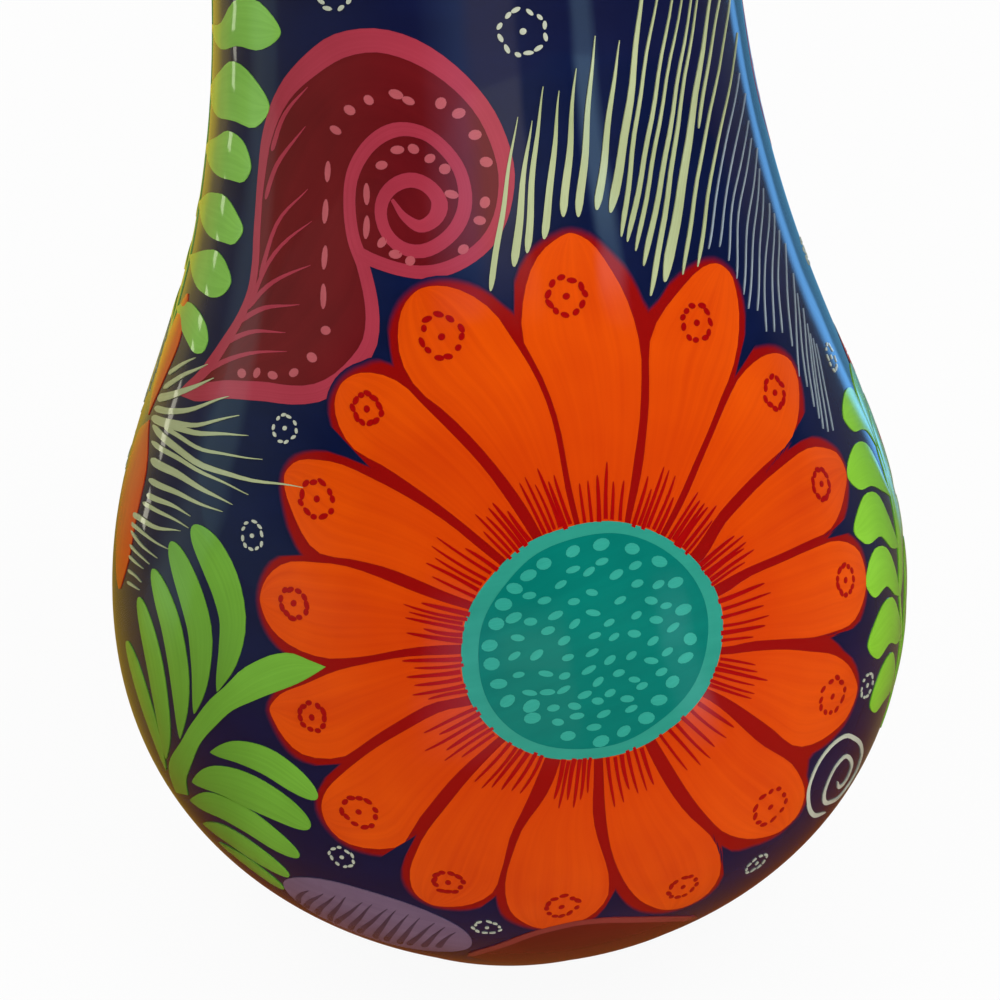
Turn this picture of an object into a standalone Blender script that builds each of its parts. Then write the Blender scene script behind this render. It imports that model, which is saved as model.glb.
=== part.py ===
"""Hand-built terracotta jug: a pear-shaped body raised in stages, with a leaning neck.

The jug is made the way a potter raises a tall jug from separate pieces of clay. A pressed dish is the base,
two bowls make the belly, and a tube, a flared collar and a rolled coil finish the mouth. Each piece has a
bevelled edge that sits in the bevel of the next, and a coil backs every seam on the inside. The pulled strap
handle has a tenon at each end that passes through a slot in the wall.

Units are metres, +Z is up, and the origin is the middle of the flat that the jug stands on. The pouring lip
points to -Y and the handle is at +Y.
"""
import math

import bmesh
import bpy
from mathutils import Vector

# The outline: a small flat, a round belly, a narrow waist and a flared mouth
BASE_RADIUS = 0.036
BASE_EDGE_ROUND = 0.004
BASE_EDGE_TENSION = 0.6
BASE_FLARE = math.radians(41)
BELLY_RADIUS = 0.080
BELLY_HEIGHT = 0.0682
WAIST_RADIUS = 0.0467
WAIST_HEIGHT = 0.223
MOUTH_RADIUS = 0.059
MOUTH_HEIGHT = 0.297
MOUTH_FLARE = math.radians(62)

# How far each curve of the outline runs on before it bends
BASE_PULL = 0.0132
BELLY_PULL_DOWN = 0.0426
BELLY_PULL_UP = 0.0459
WAIST_PULL_DOWN = 0.0927
WAIST_PULL_UP = 0.030
MOUTH_PULL = 0.024

# The hand-made lean of the neck towards -X, and the pinched lip
LEAN = 0.0112
LEAN_START = 0.0706
LEAN_END = 0.300
LIP_START = 0.250
LIP_REACH = 0.013
LIP_LIFT = 0.003
LIP_HALF_ANGLE = math.radians(24)
LIP_PINCH = 0.32
LIP_PINCH_PLACE = 2.1

# Walls, seams and the coils behind the seams
WALL_LOW = 0.0065
WALL_HIGH = 0.0050
FLOOR_THICKNESS = 0.008
FLOOR_RADIUS = 0.031
BASE_SEAM = 0.014
BELLY_SEAM = 0.071
NECK_SEAM = 0.160
MOUTH_SEAM = 0.246
SCARF_RISE = 0.005
SEAM_GAP = 0.0004
TOUCH_GAP = 0.0003
COIL_HALF_HEIGHT = 0.0075
COIL_THICKNESS = 0.0030
COIL_EDGE = 0.0005
RIM_HEIGHT = 0.0075
RIM_OVERHANG = 0.0018
RIM_TUCK = math.radians(20)

# The strap handle and its tenons
HANDLE_TOP = 0.266
HANDLE_FOOT = 0.124
HANDLE_TOP_TILT = math.radians(24)
HANDLE_FOOT_TILT = math.radians(30)
HANDLE_TOP_PULL = 0.069
HANDLE_FOOT_PULL = 0.063
HANDLE_HALF_WIDTH = 0.0115
HANDLE_HALF_THICKNESS = 0.0053
ROOT_SWELL = 0.62
ROOT_SWELL_POWER = 7
ROOT_SINK = 0.004
TENON_HALF_WIDTH = 0.0080
TENON_HALF_THICKNESS = 0.0034
TENON_START = 0.010
TENON_STOP = 0.0010

# Fineness of the mesh
TURN_STEPS = 48
SKIN_STEPS = 40
STRAP_RINGS = 24
STRAP_SIDES = 14

LACQUER_NAVY = (0.010, 0.014, 0.060, 1.0)
CLAY_RED = (0.420, 0.140, 0.065, 1.0)
GLOSS = 0.15
MATT = 0.9


def direction(angle):
    """Return the unit vector that rises at this angle above the outward horizontal."""
    return Vector((math.cos(angle), math.sin(angle)))


def outline_spans():
    """Return the outline as Bezier spans of (radius, height) points, from the base edge to the mouth."""
    up = Vector((0.0, 1.0))
    corner = Vector((BASE_RADIUS, 0.0))
    flat_end = corner - Vector((BASE_EDGE_ROUND, 0.0))
    foot = corner + direction(BASE_FLARE) * BASE_EDGE_ROUND
    belly = Vector((BELLY_RADIUS, BELLY_HEIGHT))
    waist = Vector((WAIST_RADIUS, WAIST_HEIGHT))
    mouth = Vector((MOUTH_RADIUS, MOUTH_HEIGHT))
    return [
        (
            flat_end,
            flat_end.lerp(corner, BASE_EDGE_TENSION),
            foot.lerp(corner, BASE_EDGE_TENSION),
            foot,
        ),
        (foot, foot + direction(BASE_FLARE) * BASE_PULL, belly - up * BELLY_PULL_DOWN, belly),
        (belly, belly + up * BELLY_PULL_UP, waist - up * WAIST_PULL_DOWN, waist),
        (waist, waist + up * WAIST_PULL_UP, mouth - direction(MOUTH_FLARE) * MOUTH_PULL, mouth),
    ]


SPANS = outline_spans()


def bezier(span, t):
    """Return the point and the tangent of a Bezier span at t."""
    a, b, c, d = span
    s = 1.0 - t
    point = a * s**3 + b * (3 * s * s * t) + c * (3 * s * t * t) + d * t**3
    tangent = (b - a) * (3 * s * s) + (c - b) * (6 * s * t) + (d - c) * (3 * t * t)
    return point, tangent.normalized()


def outline(height):
    """Return the outline's point and tangent at this height."""
    span = next((s for s in SPANS if height <= s[3].y), SPANS[-1])
    low, high = 0.0, 1.0
    for _ in range(40):
        middle = (low + high) / 2
        if bezier(span, middle)[0].y < height:
            low = middle
        else:
            high = middle
    return bezier(span, high)


def wall(height, depth):
    """Return the point at this depth inside the outline, square to the wall."""
    point, tangent = outline(height)
    return point + Vector((-tangent.y, tangent.x)) * depth


def thickness(height):
    """Return the wall's thickness, which tapers upwards."""
    return WALL_LOW + (WALL_HIGH - WALL_LOW) * height / MOUTH_HEIGHT


def steps(start, stop, count):
    """Return count + 1 evenly spaced values from start to stop."""
    return [start + (stop - start) * i / count for i in range(count + 1)]


def lean(height):
    """Return how far the jug's centre is shifted along X at this height."""
    rise = min(max((height - LEAN_START) / (LEAN_END - LEAN_START), 0.0), 1.0)
    return -LEAN * (1.0 - math.cos(math.pi * rise)) / 2


def hand_shaped(point):
    """Move a point of the true turned form to where the potter's hand left it."""
    x, y, z = point
    radius = math.hypot(x, y)
    rise = max(z - LIP_START, 0.0) / (MOUTH_HEIGHT - LIP_START)
    pull = LIP_REACH * rise * rise
    away = abs(math.atan2(x, -y)) / LIP_HALF_ANGLE
    lobe = math.exp(-away * away)
    pinch = LIP_PINCH * math.exp(-((away - LIP_PINCH_PLACE) ** 2))
    grow = 1.0
    if radius > 0.0:
        grow += pull * (lobe - pinch) / radius
    lifted = z + LIP_LIFT * rise * rise * lobe
    return Vector((x * grow + lean(z), y * grow, lifted))


def clay(name, colour, roughness):
    """Return a Principled material of this colour and roughness."""
    material = bpy.data.materials.new(name)
    material.use_nodes = True
    shader = material.node_tree.nodes["Principled BSDF"]
    shader.inputs["Base Color"].default_value = colour
    shader.inputs["Roughness"].default_value = roughness
    shader.inputs["Metallic"].default_value = 0.0
    return material


def add_object(name, bm, colour, roughness, sharp_angle=math.radians(38)):
    """Turn a finished bmesh into a named, smooth-shaded object with its own material."""
    bmesh.ops.recalc_face_normals(bm, faces=bm.faces[:])
    mesh = bpy.data.meshes.new(name)
    bm.to_mesh(mesh)
    bm.free()
    mesh.shade_smooth()
    mesh.set_sharp_from_angle(angle=sharp_angle)
    mesh.materials.append(clay(name, colour, roughness))
    piece = bpy.data.objects.new(name, mesh)
    bpy.context.scene.collection.objects.link(piece)
    return piece


def turned(name, profile, colour, roughness, closed=True):
    """Spin a profile of (radius, height) points round the axis, then shape it by hand."""
    bm = bmesh.new()
    verts = [bm.verts.new((point[0], 0.0, point[1])) for point in profile]
    pairs = list(zip(verts, verts[1:]))
    if closed:
        pairs.append((verts[-1], verts[0]))
    edges = [bm.edges.new(pair) for pair in pairs]
    bmesh.ops.spin(
        bm,
        geom=verts + edges,
        cent=(0.0, 0.0, 0.0),
        axis=(0.0, 0.0, 1.0),
        angle=2 * math.pi,
        steps=TURN_STEPS,
        use_merge=True,
    )
    bmesh.ops.remove_doubles(bm, verts=bm.verts[:], dist=1e-6)
    for vert in bm.verts:
        vert.co = hand_shaped(vert.co)
    return add_object(name, bm, colour, roughness)


def wall_piece(name, low, high, outer_steps, inner_steps, flat_top=False):
    """Make a ring of wall between two seams, with a bevelled edge at each."""
    start = low + SEAM_GAP
    top_rise = 0.0 if flat_top else SCARF_RISE
    outer = [wall(h, 0.0) for h in steps(start, high, outer_steps)]
    inner_heights = steps(high + top_rise, start + SCARF_RISE, inner_steps)
    inner = [wall(h, thickness(h)) for h in inner_heights]
    return turned(name, outer + inner, LACQUER_NAVY, GLOSS)


def base_dish():
    """Make the base: a flat, a rounded edge and a short flared rim with a bevelled top."""
    edge = [bezier(SPANS[0], t)[0] for t in steps(0.0, 1.0, 4)]
    flare = [wall(h, 0.0) for h in steps(edge[-1].y, BASE_SEAM, 3)][1:]
    inner = [wall(h, thickness(h)) for h in steps(BASE_SEAM + SCARF_RISE, BASE_EDGE_ROUND, 3)]
    floor_edge = Vector((FLOOR_RADIUS, FLOOR_THICKNESS))
    axis_low = Vector((0.0, 0.0))
    axis_high = Vector((0.0, FLOOR_THICKNESS))
    profile = [axis_low] + edge + flare + inner + [floor_edge, axis_high]
    return turned("base_dish", profile, LACQUER_NAVY, GLOSS, closed=False)


def seam_coil(name, seam):
    """Make the coil that is pressed over a seam on the inside of the wall."""
    middle = seam + SCARF_RISE
    heights = steps(middle - COIL_HALF_HEIGHT, middle + COIL_HALF_HEIGHT, 4)
    back = [wall(h, thickness(h) + TOUCH_GAP) for h in heights]
    front = []
    for h in reversed(heights):
        swell = math.cos((h - middle) / COIL_HALF_HEIGHT * math.pi / 2)
        bulge = COIL_EDGE + (COIL_THICKNESS - COIL_EDGE) * swell
        front.append(wall(h, thickness(h) + TOUCH_GAP + bulge))
    return turned(name, back + front, CLAY_RED, MATT)


def rim_roll():
    """Make the coil that rounds off the mouth, seated flat on the collar's top edge."""
    outer = wall(MOUTH_HEIGHT, 0.0)
    inner = wall(MOUTH_HEIGHT, thickness(MOUTH_HEIGHT))
    seat = [outer + Vector((0.0, TOUCH_GAP)), inner + Vector((0.0, TOUCH_GAP))]
    middle = (seat[0] + seat[1]) / 2
    half_width = (seat[0] - seat[1]).length / 2 + RIM_OVERHANG
    crown = []
    for angle in steps(math.pi + RIM_TUCK, -RIM_TUCK, 7):
        across = math.cos(angle) * half_width
        rise = RIM_HEIGHT / 2 + math.sin(angle) * RIM_HEIGHT / 2
        crown.append(middle + Vector((across, rise)))
    return turned("rim_roll", [seat[1]] + crown + [seat[0]], LACQUER_NAVY, GLOSS)


def handle_path(t):
    """Return the strap's centre and tangent as (distance from the axis, height) at t."""
    top = wall(HANDLE_TOP, ROOT_SINK)
    foot = wall(HANDLE_FOOT, ROOT_SINK)
    span = (
        top,
        top + direction(HANDLE_TOP_TILT) * HANDLE_TOP_PULL,
        foot + direction(HANDLE_FOOT_TILT) * HANDLE_FOOT_PULL,
        foot,
    )
    return bezier(span, t)


def oval_ring(bm, centre, tangent, half_width, half_thickness):
    """Add one oval cross-section of the strap, square to the path, and return its edges."""
    across = Vector((-tangent.y, tangent.x))
    ring = bmesh.ops.create_circle(bm, segments=STRAP_SIDES, radius=1.0)["verts"]
    for vert in ring:
        side, out, _ = vert.co
        spot = centre + across * (out * half_thickness)
        vert.co = hand_shaped((side * half_width, spot.x, spot.y))
    return list({edge for vert in ring for edge in vert.link_edges})


def lofted(name, sections, colour, roughness):
    """Bridge oval sections (centre, tangent, half width, half thickness) into one closed body."""
    bm = bmesh.new()
    rings = [oval_ring(bm, *section) for section in sections]
    for near, far in zip(rings, rings[1:]):
        bmesh.ops.bridge_loops(bm, edges=near + far)
    bmesh.ops.holes_fill(bm, edges=bm.edges[:], sides=STRAP_SIDES)
    return add_object(name, bm, colour, roughness)


def as_cutter(piece):
    """Mark a piece as a guide that only shapes others."""
    piece.hide_render = True
    piece.display_type = "WIRE"
    return piece


def boolean(piece, operation, other):
    """Add an exact Boolean modifier to a piece."""
    modifier = piece.modifiers.new(operation.lower(), "BOOLEAN")
    modifier.operation = operation
    modifier.solver = "EXACT"
    modifier.object = other


def tenon(name, t, height, grow, reach):
    """Make a tenon along the strap's end direction, from inside the strap to the wall's inner face."""
    root, tangent = handle_path(t)
    outward = tangent if t == 0.0 else -tangent
    inside = ROOT_SINK - thickness(height) + TENON_STOP - reach
    sections = []
    for distance in (inside, (inside + TENON_START) / 2, TENON_START):
        half_sizes = (TENON_HALF_WIDTH + grow, TENON_HALF_THICKNESS + grow)
        sections.append((root + outward * distance, outward, *half_sizes))
    return as_cutter(lofted(name, sections, LACQUER_NAVY, GLOSS))


def strap_handle(shoulder, collar):
    """Make the pulled strap, seat its swelled roots on the wall and let its tenons through."""
    sections = []
    for t in steps(0.0, 1.0, STRAP_RINGS):
        centre, tangent = handle_path(t)
        swell = 1.0 + ROOT_SWELL * abs(2 * t - 1) ** ROOT_SWELL_POWER
        sections.append((centre, tangent, HANDLE_HALF_WIDTH * swell, HANDLE_HALF_THICKNESS * swell))
    strap = lofted("strap_handle", sections, LACQUER_NAVY, GLOSS)
    heights = steps(BASE_SEAM, MOUTH_HEIGHT, SKIN_STEPS)
    skin = [wall(h, -TOUCH_GAP) for h in heights]
    plug = [Vector((0.0, skin[0].y))] + skin + [Vector((0.0, skin[-1].y))]
    boolean(strap, "DIFFERENCE", as_cutter(turned("wall_guide", plug, CLAY_RED, MATT, closed=False)))
    for label, t, height, piece in (
        ("top", 0.0, HANDLE_TOP, collar),
        ("foot", 1.0, HANDLE_FOOT, shoulder),
    ):
        boolean(strap, "UNION", tenon(label + "_tenon", t, height, 0.0, 0.0))
        boolean(piece, "DIFFERENCE", tenon(label + "_slot", t, height, TOUCH_GAP, WALL_LOW))
    return strap


def build():
    """Make every piece of the jug."""
    for old in list(bpy.data.objects):
        bpy.data.objects.remove(old)
    base_dish()
    wall_piece("lower_bowl", BASE_SEAM, BELLY_SEAM, 8, 8)
    shoulder = wall_piece("upper_bowl", BELLY_SEAM, NECK_SEAM, 9, 9)
    wall_piece("neck_tube", NECK_SEAM, MOUTH_SEAM, 6, 4)
    collar = wall_piece("mouth_collar", MOUTH_SEAM, MOUTH_HEIGHT, 6, 5, flat_top=True)
    rim_roll()
    strap_handle(shoulder, collar)
    seam_coil("base_seam_coil", BASE_SEAM)
    seam_coil("belly_seam_coil", BELLY_SEAM)
    seam_coil("neck_seam_coil", NECK_SEAM)
    seam_coil("mouth_seam_coil", MOUTH_SEAM)


build()
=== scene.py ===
# %% [markdown]
# # A hand-painted terracotta jug
#
# This lesson dresses a jug that was raised from separate pieces of clay. On the real one the seams
# are rubbed smooth, the whole outside gets a deep navy ground, folk flowers and leaves are brushed
# on it, and clear lacquer goes over everything. So the lesson makes one smooth painted body over
# the clay pieces, a smooth handle, and then lays each brush stroke on the wall as a thin skin of
# paint.

# %% Load the clay pieces
import math
import random

import bmesh
import bpy
import numpy as np
from mathutils import Matrix, Vector


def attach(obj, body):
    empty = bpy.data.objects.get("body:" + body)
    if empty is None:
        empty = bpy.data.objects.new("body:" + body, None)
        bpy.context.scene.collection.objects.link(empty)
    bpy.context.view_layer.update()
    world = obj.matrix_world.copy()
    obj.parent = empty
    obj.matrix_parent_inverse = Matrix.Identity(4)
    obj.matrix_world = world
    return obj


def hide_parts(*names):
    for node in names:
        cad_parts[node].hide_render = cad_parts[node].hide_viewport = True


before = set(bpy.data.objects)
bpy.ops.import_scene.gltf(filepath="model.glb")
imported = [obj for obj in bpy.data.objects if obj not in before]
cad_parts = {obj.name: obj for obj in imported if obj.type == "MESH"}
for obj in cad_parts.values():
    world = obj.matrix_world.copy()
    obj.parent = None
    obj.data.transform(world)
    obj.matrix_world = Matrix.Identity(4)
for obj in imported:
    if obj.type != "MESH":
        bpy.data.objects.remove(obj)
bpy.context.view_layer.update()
BODY = "root"
print("clay pieces:", sorted(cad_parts))

# %% [markdown]
# ## Camera, floor and light
#
# The photograph looks down on the jug by 25 degrees from about half a metre, with a long lens, so
# close that the neck runs out of the picture. The background is plain white. Wet-looking lacquer
# shows mostly what it mirrors, and here that is a dim room with a few bright windows, which stand
# on the wall as upright bands. So the sky and the floor are white for the camera, plain light for
# the paint, and that room for mirrored rays. The floor near the foot is mirrored in warm tones of
# its own. The lamps hang high, where the wall doesn't mirror them, and four tiny ones on the left
# make the broken glints on the leaves there.

# %% Camera
VIEW_RISE = math.radians(25)
VIEW_DISTANCE = 0.519
VIEW_AIM = Vector((-0.0018, 0.0, 0.0873))
LENS, SENSOR, NEAREST = 93.44, 36.0, 0.01

view = bpy.data.cameras.new("photo_camera")
view.lens = LENS
view.sensor_width = SENSOR
view.clip_start = NEAREST
camera = bpy.data.objects.new("photo_camera", view)
back_off = Vector((0.0, -math.cos(VIEW_RISE), math.sin(VIEW_RISE)))
camera.location = VIEW_AIM + back_off * VIEW_DISTANCE
camera.rotation_euler = (math.pi / 2 - VIEW_RISE, 0.0, 0.0)
bpy.context.scene.collection.objects.link(camera)
bpy.context.scene.camera = camera
bpy.context.scene.view_settings.view_transform = "Standard"
print("camera at", [round(c, 3) for c in camera.location])

# %% Tones of the mirrored room
AMBER = (0.85, 0.68, 0.08)
SUNLIT = (0.42, 0.35, 0.13)
SAND = (0.22, 0.19, 0.10)
RUST = (0.17, 0.048, 0.012)
OLIVE = (0.30, 0.19, 0.02)
BROWN = (0.09, 0.09, 0.10)
DUSK = (0.19, 0.22, 0.17)
SHADE = (0.05, 0.07, 0.07)
DARK = (0.01, 0.02, 0.03)
TURN = (0.10, 0.12, 0.12)
PALE = (0.42, 0.62, 0.58)
GREY = (0.95, 0.90, 0.85)
WINDOW = (1.10, 1.90, 2.50)
BLUE = (0.50, 0.85, 1.40)
BLUE_SKY = (0.50, 1.80, 3.90)
DEEP_BLUE = (0.0, 0.34, 0.70)
CYAN = (0.02, 0.60, 1.25)

# Each stop is a direction round the jug in degrees, 0 towards the camera, and the tone mirrored from there.
ROOM = (
    (-180, TURN), (-172, AMBER), (-146, AMBER), (-138, SUNLIT), (-131, SUNLIT), (-124, SHADE),
    (-112, SHADE), (-104, PALE), (-94, PALE), (-90, DUSK), (-62, DUSK), (-34, DARK), (-24, DARK),
    (-7, BLUE), (0, GREY), (15, GREY), (18, DUSK), (40, DARK), (43, WINDOW), (48, WINDOW), (52, BROWN),
    (70, DARK), (104, DARK), (112, BROWN), (126, BROWN), (136, DARK), (140, BLUE_SKY), (143, BLUE_SKY),
    (146, DEEP_BLUE), (160, DEEP_BLUE), (168, CYAN), (180, TURN),
)
# Painted reflection tones that the floor glows with near the foot, seen only in the lacquer.
FOOT = (
    (-180, RUST), (-168, OLIVE), (-118, OLIVE), (-75, RUST), (95, RUST), (135, SAND), (168, SAND),
    (180, RUST),
)

# %% Helpers for shader nodes
def add_node(tree, kind, **values):
    """Add a shader node and set its properties and its named inputs."""
    node = tree.nodes.new("ShaderNode" + kind)
    for key, value in values.items():
        if hasattr(node, key):
            setattr(node, key, value)
        else:
            node.inputs[key.replace("_", " ")].default_value = value
    return node


def seen_by_camera(tree):
    """Return two outputs: 1 for rays that carry the picture's background, and 1 for mirrored rays."""
    ray = add_node(tree, "LightPath")
    seen = add_node(tree, "Math", operation="MAXIMUM")
    tree.links.new(ray.outputs["Is Camera Ray"], seen.inputs[0])
    tree.links.new(ray.outputs["Is Transmission Ray"], seen.inputs[1])
    return seen.outputs[0], ray.outputs["Is Glossy Ray"]


def room_tone(tree, direction, tones):
    """Return the tone that is mirrored from a direction, and that direction's rise."""
    split = add_node(tree, "SeparateXYZ")
    front = add_node(tree, "Math", operation="MULTIPLY")
    front.inputs[1].default_value = -1.0
    azimuth = add_node(tree, "Math", operation="ARCTAN2")
    share = add_node(tree, "MapRange", From_Min=-math.pi, From_Max=math.pi)
    ramp = add_node(tree, "ValToRGB")
    stops = ramp.color_ramp.elements
    while len(stops) < len(tones):
        stops.new(1.0)
    for stop, (degrees, tone) in zip(stops, tones):
        stop.position = (degrees + 180) / 360
        stop.color = (*tone, 1.0)
    tree.links.new(direction, split.inputs["Vector"])
    tree.links.new(split.outputs["Y"], front.inputs[0])
    tree.links.new(split.outputs["X"], azimuth.inputs[0])
    tree.links.new(front.outputs[0], azimuth.inputs[1])
    tree.links.new(azimuth.outputs[0], share.inputs["Value"])
    tree.links.new(share.outputs["Result"], ramp.inputs["Fac"])
    return ramp.outputs["Color"], split.outputs["Z"]


# %% White sky for the camera, a dim room for mirrored rays
SKY_LIGHT = 0.40
CEILING = (0.015, 0.015, 0.010)
CEILING_LOW, CEILING_HIGH = 0.10, 0.22

sky = bpy.data.worlds.new("studio")
sky.use_nodes = True
bpy.context.scene.world = sky
sky_tree = sky.node_tree
sky_seen, sky_glossy = seen_by_camera(sky_tree)
sky_place = add_node(sky_tree, "TexCoord")
sky_room, sky_height = room_tone(sky_tree, sky_place.outputs["Generated"], ROOM)
ceiling = add_node(sky_tree, "MapRange", From_Min=CEILING_LOW, From_Max=CEILING_HIGH)
shade = add_node(sky_tree, "Mix", data_type="RGBA")
shade.inputs[7].default_value = (*CEILING, 1.0)
dim = add_node(sky_tree, "Mix", data_type="RGBA")
dim.inputs[6].default_value = (SKY_LIGHT, SKY_LIGHT, SKY_LIGHT, 1.0)
level = add_node(sky_tree, "Mix", data_type="RGBA")
level.inputs[7].default_value = (1.0, 1.0, 1.0, 1.0)
sky_tree.links.new(sky_height, ceiling.inputs["Value"])
sky_tree.links.new(ceiling.outputs["Result"], shade.inputs["Factor"])
sky_tree.links.new(sky_room, shade.inputs[6])
sky_tree.links.new(sky_glossy, dim.inputs["Factor"])
sky_tree.links.new(shade.outputs[2], dim.inputs[7])
sky_tree.links.new(sky_seen, level.inputs["Factor"])
sky_tree.links.new(dim.outputs[2], level.inputs[6])
sky_tree.links.new(level.outputs[2], sky_tree.nodes["Background"].inputs["Color"])

# %% A pale floor
FLOOR_SIZE, FLOOR_DROP = 6.0, 0.0002

floor_bm = bmesh.new()
bmesh.ops.create_grid(floor_bm, x_segments=4, y_segments=4, size=FLOOR_SIZE)
bmesh.ops.translate(floor_bm, verts=floor_bm.verts[:], vec=(0.0, 0.0, -FLOOR_DROP))
floor_mesh = bpy.data.meshes.new("floor")
floor_bm.to_mesh(floor_mesh)
floor_bm.free()
floor = bpy.data.objects.new("floor", floor_mesh)
bpy.context.scene.collection.objects.link(floor)

# %% Floor paint that goes to white and keeps the shadow
FLOOR_GLOW, FADE_START, FADE_END = 0.94, 0.35, 1.6
NEAR_FLOOR, OPEN_FLOOR, OPEN_SHARE = 0.22, 0.42, 0.6

# For mirrored rays the floor glows instead of taking light: a painted reflection of a room, in the FOOT
# tones near the jug and the ROOM tones further out.
pale = bpy.data.materials.new("pale_floor")
pale.use_nodes = True
floor_tree = pale.node_tree
floor_shader = floor_tree.nodes["Principled BSDF"]
floor_shader.inputs["Roughness"].default_value = 0.9
floor_shader.inputs["Specular IOR Level"].default_value = 0.1
floor_shader.inputs["Base Color"].default_value = (0.90, 0.90, 0.88, 1.0)
floor_seen, floor_glossy = seen_by_camera(floor_tree)
place = add_node(floor_tree, "TexCoord")
far_room, _ = room_tone(floor_tree, place.outputs["Object"], ROOM)
near_room, _ = room_tone(floor_tree, place.outputs["Object"], FOOT)
far = add_node(floor_tree, "VectorMath", operation="LENGTH")
open_floor = add_node(floor_tree, "MapRange", From_Min=NEAR_FLOOR, From_Max=OPEN_FLOOR, To_Max=OPEN_SHARE)
floor_mirror = add_node(floor_tree, "Mix", data_type="RGBA")
tint = add_node(floor_tree, "Mix", data_type="RGBA")
tint.inputs[6].default_value = (1.0, 1.0, 1.0, 1.0)
fade = add_node(
    floor_tree, "MapRange", From_Min=FADE_START, From_Max=FADE_END, To_Min=FLOOR_GLOW, To_Max=1.0,
)
share = add_node(floor_tree, "Math", operation="MULTIPLY")
either = add_node(floor_tree, "Math", operation="MAXIMUM")
glow = add_node(floor_tree, "Emission")
blend = add_node(floor_tree, "MixShader")
floor_tree.links.new(place.outputs["Object"], far.inputs[0])
floor_tree.links.new(far.outputs["Value"], open_floor.inputs["Value"])
floor_tree.links.new(open_floor.outputs["Result"], floor_mirror.inputs["Factor"])
floor_tree.links.new(near_room, floor_mirror.inputs[6])
floor_tree.links.new(far_room, floor_mirror.inputs[7])
floor_tree.links.new(floor_mirror.outputs[2], tint.inputs[7])
floor_tree.links.new(floor_glossy, tint.inputs["Factor"])
floor_tree.links.new(tint.outputs[2], glow.inputs["Color"])
floor_tree.links.new(far.outputs["Value"], fade.inputs["Value"])
floor_tree.links.new(fade.outputs["Result"], share.inputs[0])
floor_tree.links.new(floor_seen, share.inputs[1])
floor_tree.links.new(share.outputs[0], either.inputs[0])
floor_tree.links.new(floor_glossy, either.inputs[1])
floor_tree.links.new(either.outputs[0], blend.inputs[0])
floor_tree.links.new(floor_shader.outputs[0], blend.inputs[1])
floor_tree.links.new(glow.outputs[0], blend.inputs[2])
floor_tree.links.new(blend.outputs[0], floor_tree.nodes["Material Output"].inputs["Surface"])
floor_mesh.materials.append(pale)

# %% Soft windows and small glints
LAMP_AIM = Vector((0.0, 0.0, 0.12))
WARM, COOL = (1.0, 0.98, 0.94), (0.97, 0.98, 1.0)
GLINTS = ((-20, 0.02), (-14, 0.03), (-8, 0.022), (-2, 0.03))
GLINT_SIDE, GLINT_DISTANCE, GLINT_WIDTH, GLINT_POWER = -121, 0.45, 0.026, 0.16
GLINT_TINT = (1.0, 0.97, 0.80)


def window(name, azimuth, rise, distance, width, height, power, colour=(1.0, 1.0, 1.0)):
    """Hang a soft rectangular lamp that faces the jug, seen from azimuth degrees round it."""
    lamp = bpy.data.lights.new(name, "AREA")
    lamp.shape = "RECTANGLE"
    lamp.size = width
    lamp.size_y = height
    lamp.energy = power
    lamp.color = colour
    hung = bpy.data.objects.new(name, lamp)
    turn, up = math.radians(azimuth), math.radians(rise)
    out = Vector((math.sin(turn) * math.cos(up), -math.cos(turn) * math.cos(up), math.sin(up)))
    hung.location = LAMP_AIM + out * distance
    hung.rotation_euler = out.to_track_quat("Z", "Y").to_euler()
    bpy.context.scene.collection.objects.link(hung)
    return hung


window("front_sky", azimuth=-10, rise=64, distance=1.4, width=1.6, height=1.0, power=3.4)
window("left_window", azimuth=-62, rise=50, distance=1.3, width=0.8, height=0.8, power=4.4, colour=WARM)
window("right_window", azimuth=55, rise=52, distance=1.3, width=0.8, height=0.8, power=5.8, colour=COOL)
low_fill = window("low_fill", azimuth=40, rise=4, distance=1.3, width=0.9, height=0.22, power=6.0)
low_fill.visible_glossy = False
for index, (rise, height) in enumerate(GLINTS):
    window(
        "left_glint_%d" % index, azimuth=GLINT_SIDE + index % 2, rise=rise, distance=GLINT_DISTANCE,
        width=GLINT_WIDTH, height=height, power=height * GLINT_POWER, colour=GLINT_TINT,
    )
print("lamps:", len(bpy.data.lights))

# %% [markdown]
# ## The jug's outline
#
# A jug like this grows from a small flat, swells to a belly, draws in to a waist and flares at the
# mouth. Four Bezier curves hold that outline in millimetres. The neck was left leaning a little to
# the left, and the lip was pinched out with two fingers, so a second function moves every point of
# the true turned form to where the hand left it. Each piece below uses these two, and so it fits
# the clay pieces and its neighbours.

# %% Outline of the turned form
MM = 0.001
BASE_RADIUS, BASE_ROUND, BASE_TENSION = 36.0, 4.0, 0.6
BELLY = np.array((79.65, 68.2))
WAIST = np.array((46.7, 223.0))
MOUTH = np.array((59.0, 297.0))
BASE_FLARE, MOUTH_FLARE = math.radians(41), math.radians(62)
BASE_PULL, BELLY_DOWN, BELLY_UP = 13.2, 42.6, 45.9
WAIST_DOWN, WAIST_UP, MOUTH_PULL = 92.7, 30.0, 24.0
UP = np.array((0.0, 1.0))


def bezier(a, b, c, d, count):
    """Return count points along a Bezier curve."""
    t = np.linspace(0.0, 1.0, count)[:, None]
    return a * (1 - t) ** 3 + 3 * b * t * (1 - t) ** 2 + 3 * c * t**2 * (1 - t) + d * t**3


def heading(angle):
    """Return the unit vector at this angle above the outward horizontal."""
    return np.array((math.cos(angle), math.sin(angle)))


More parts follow.
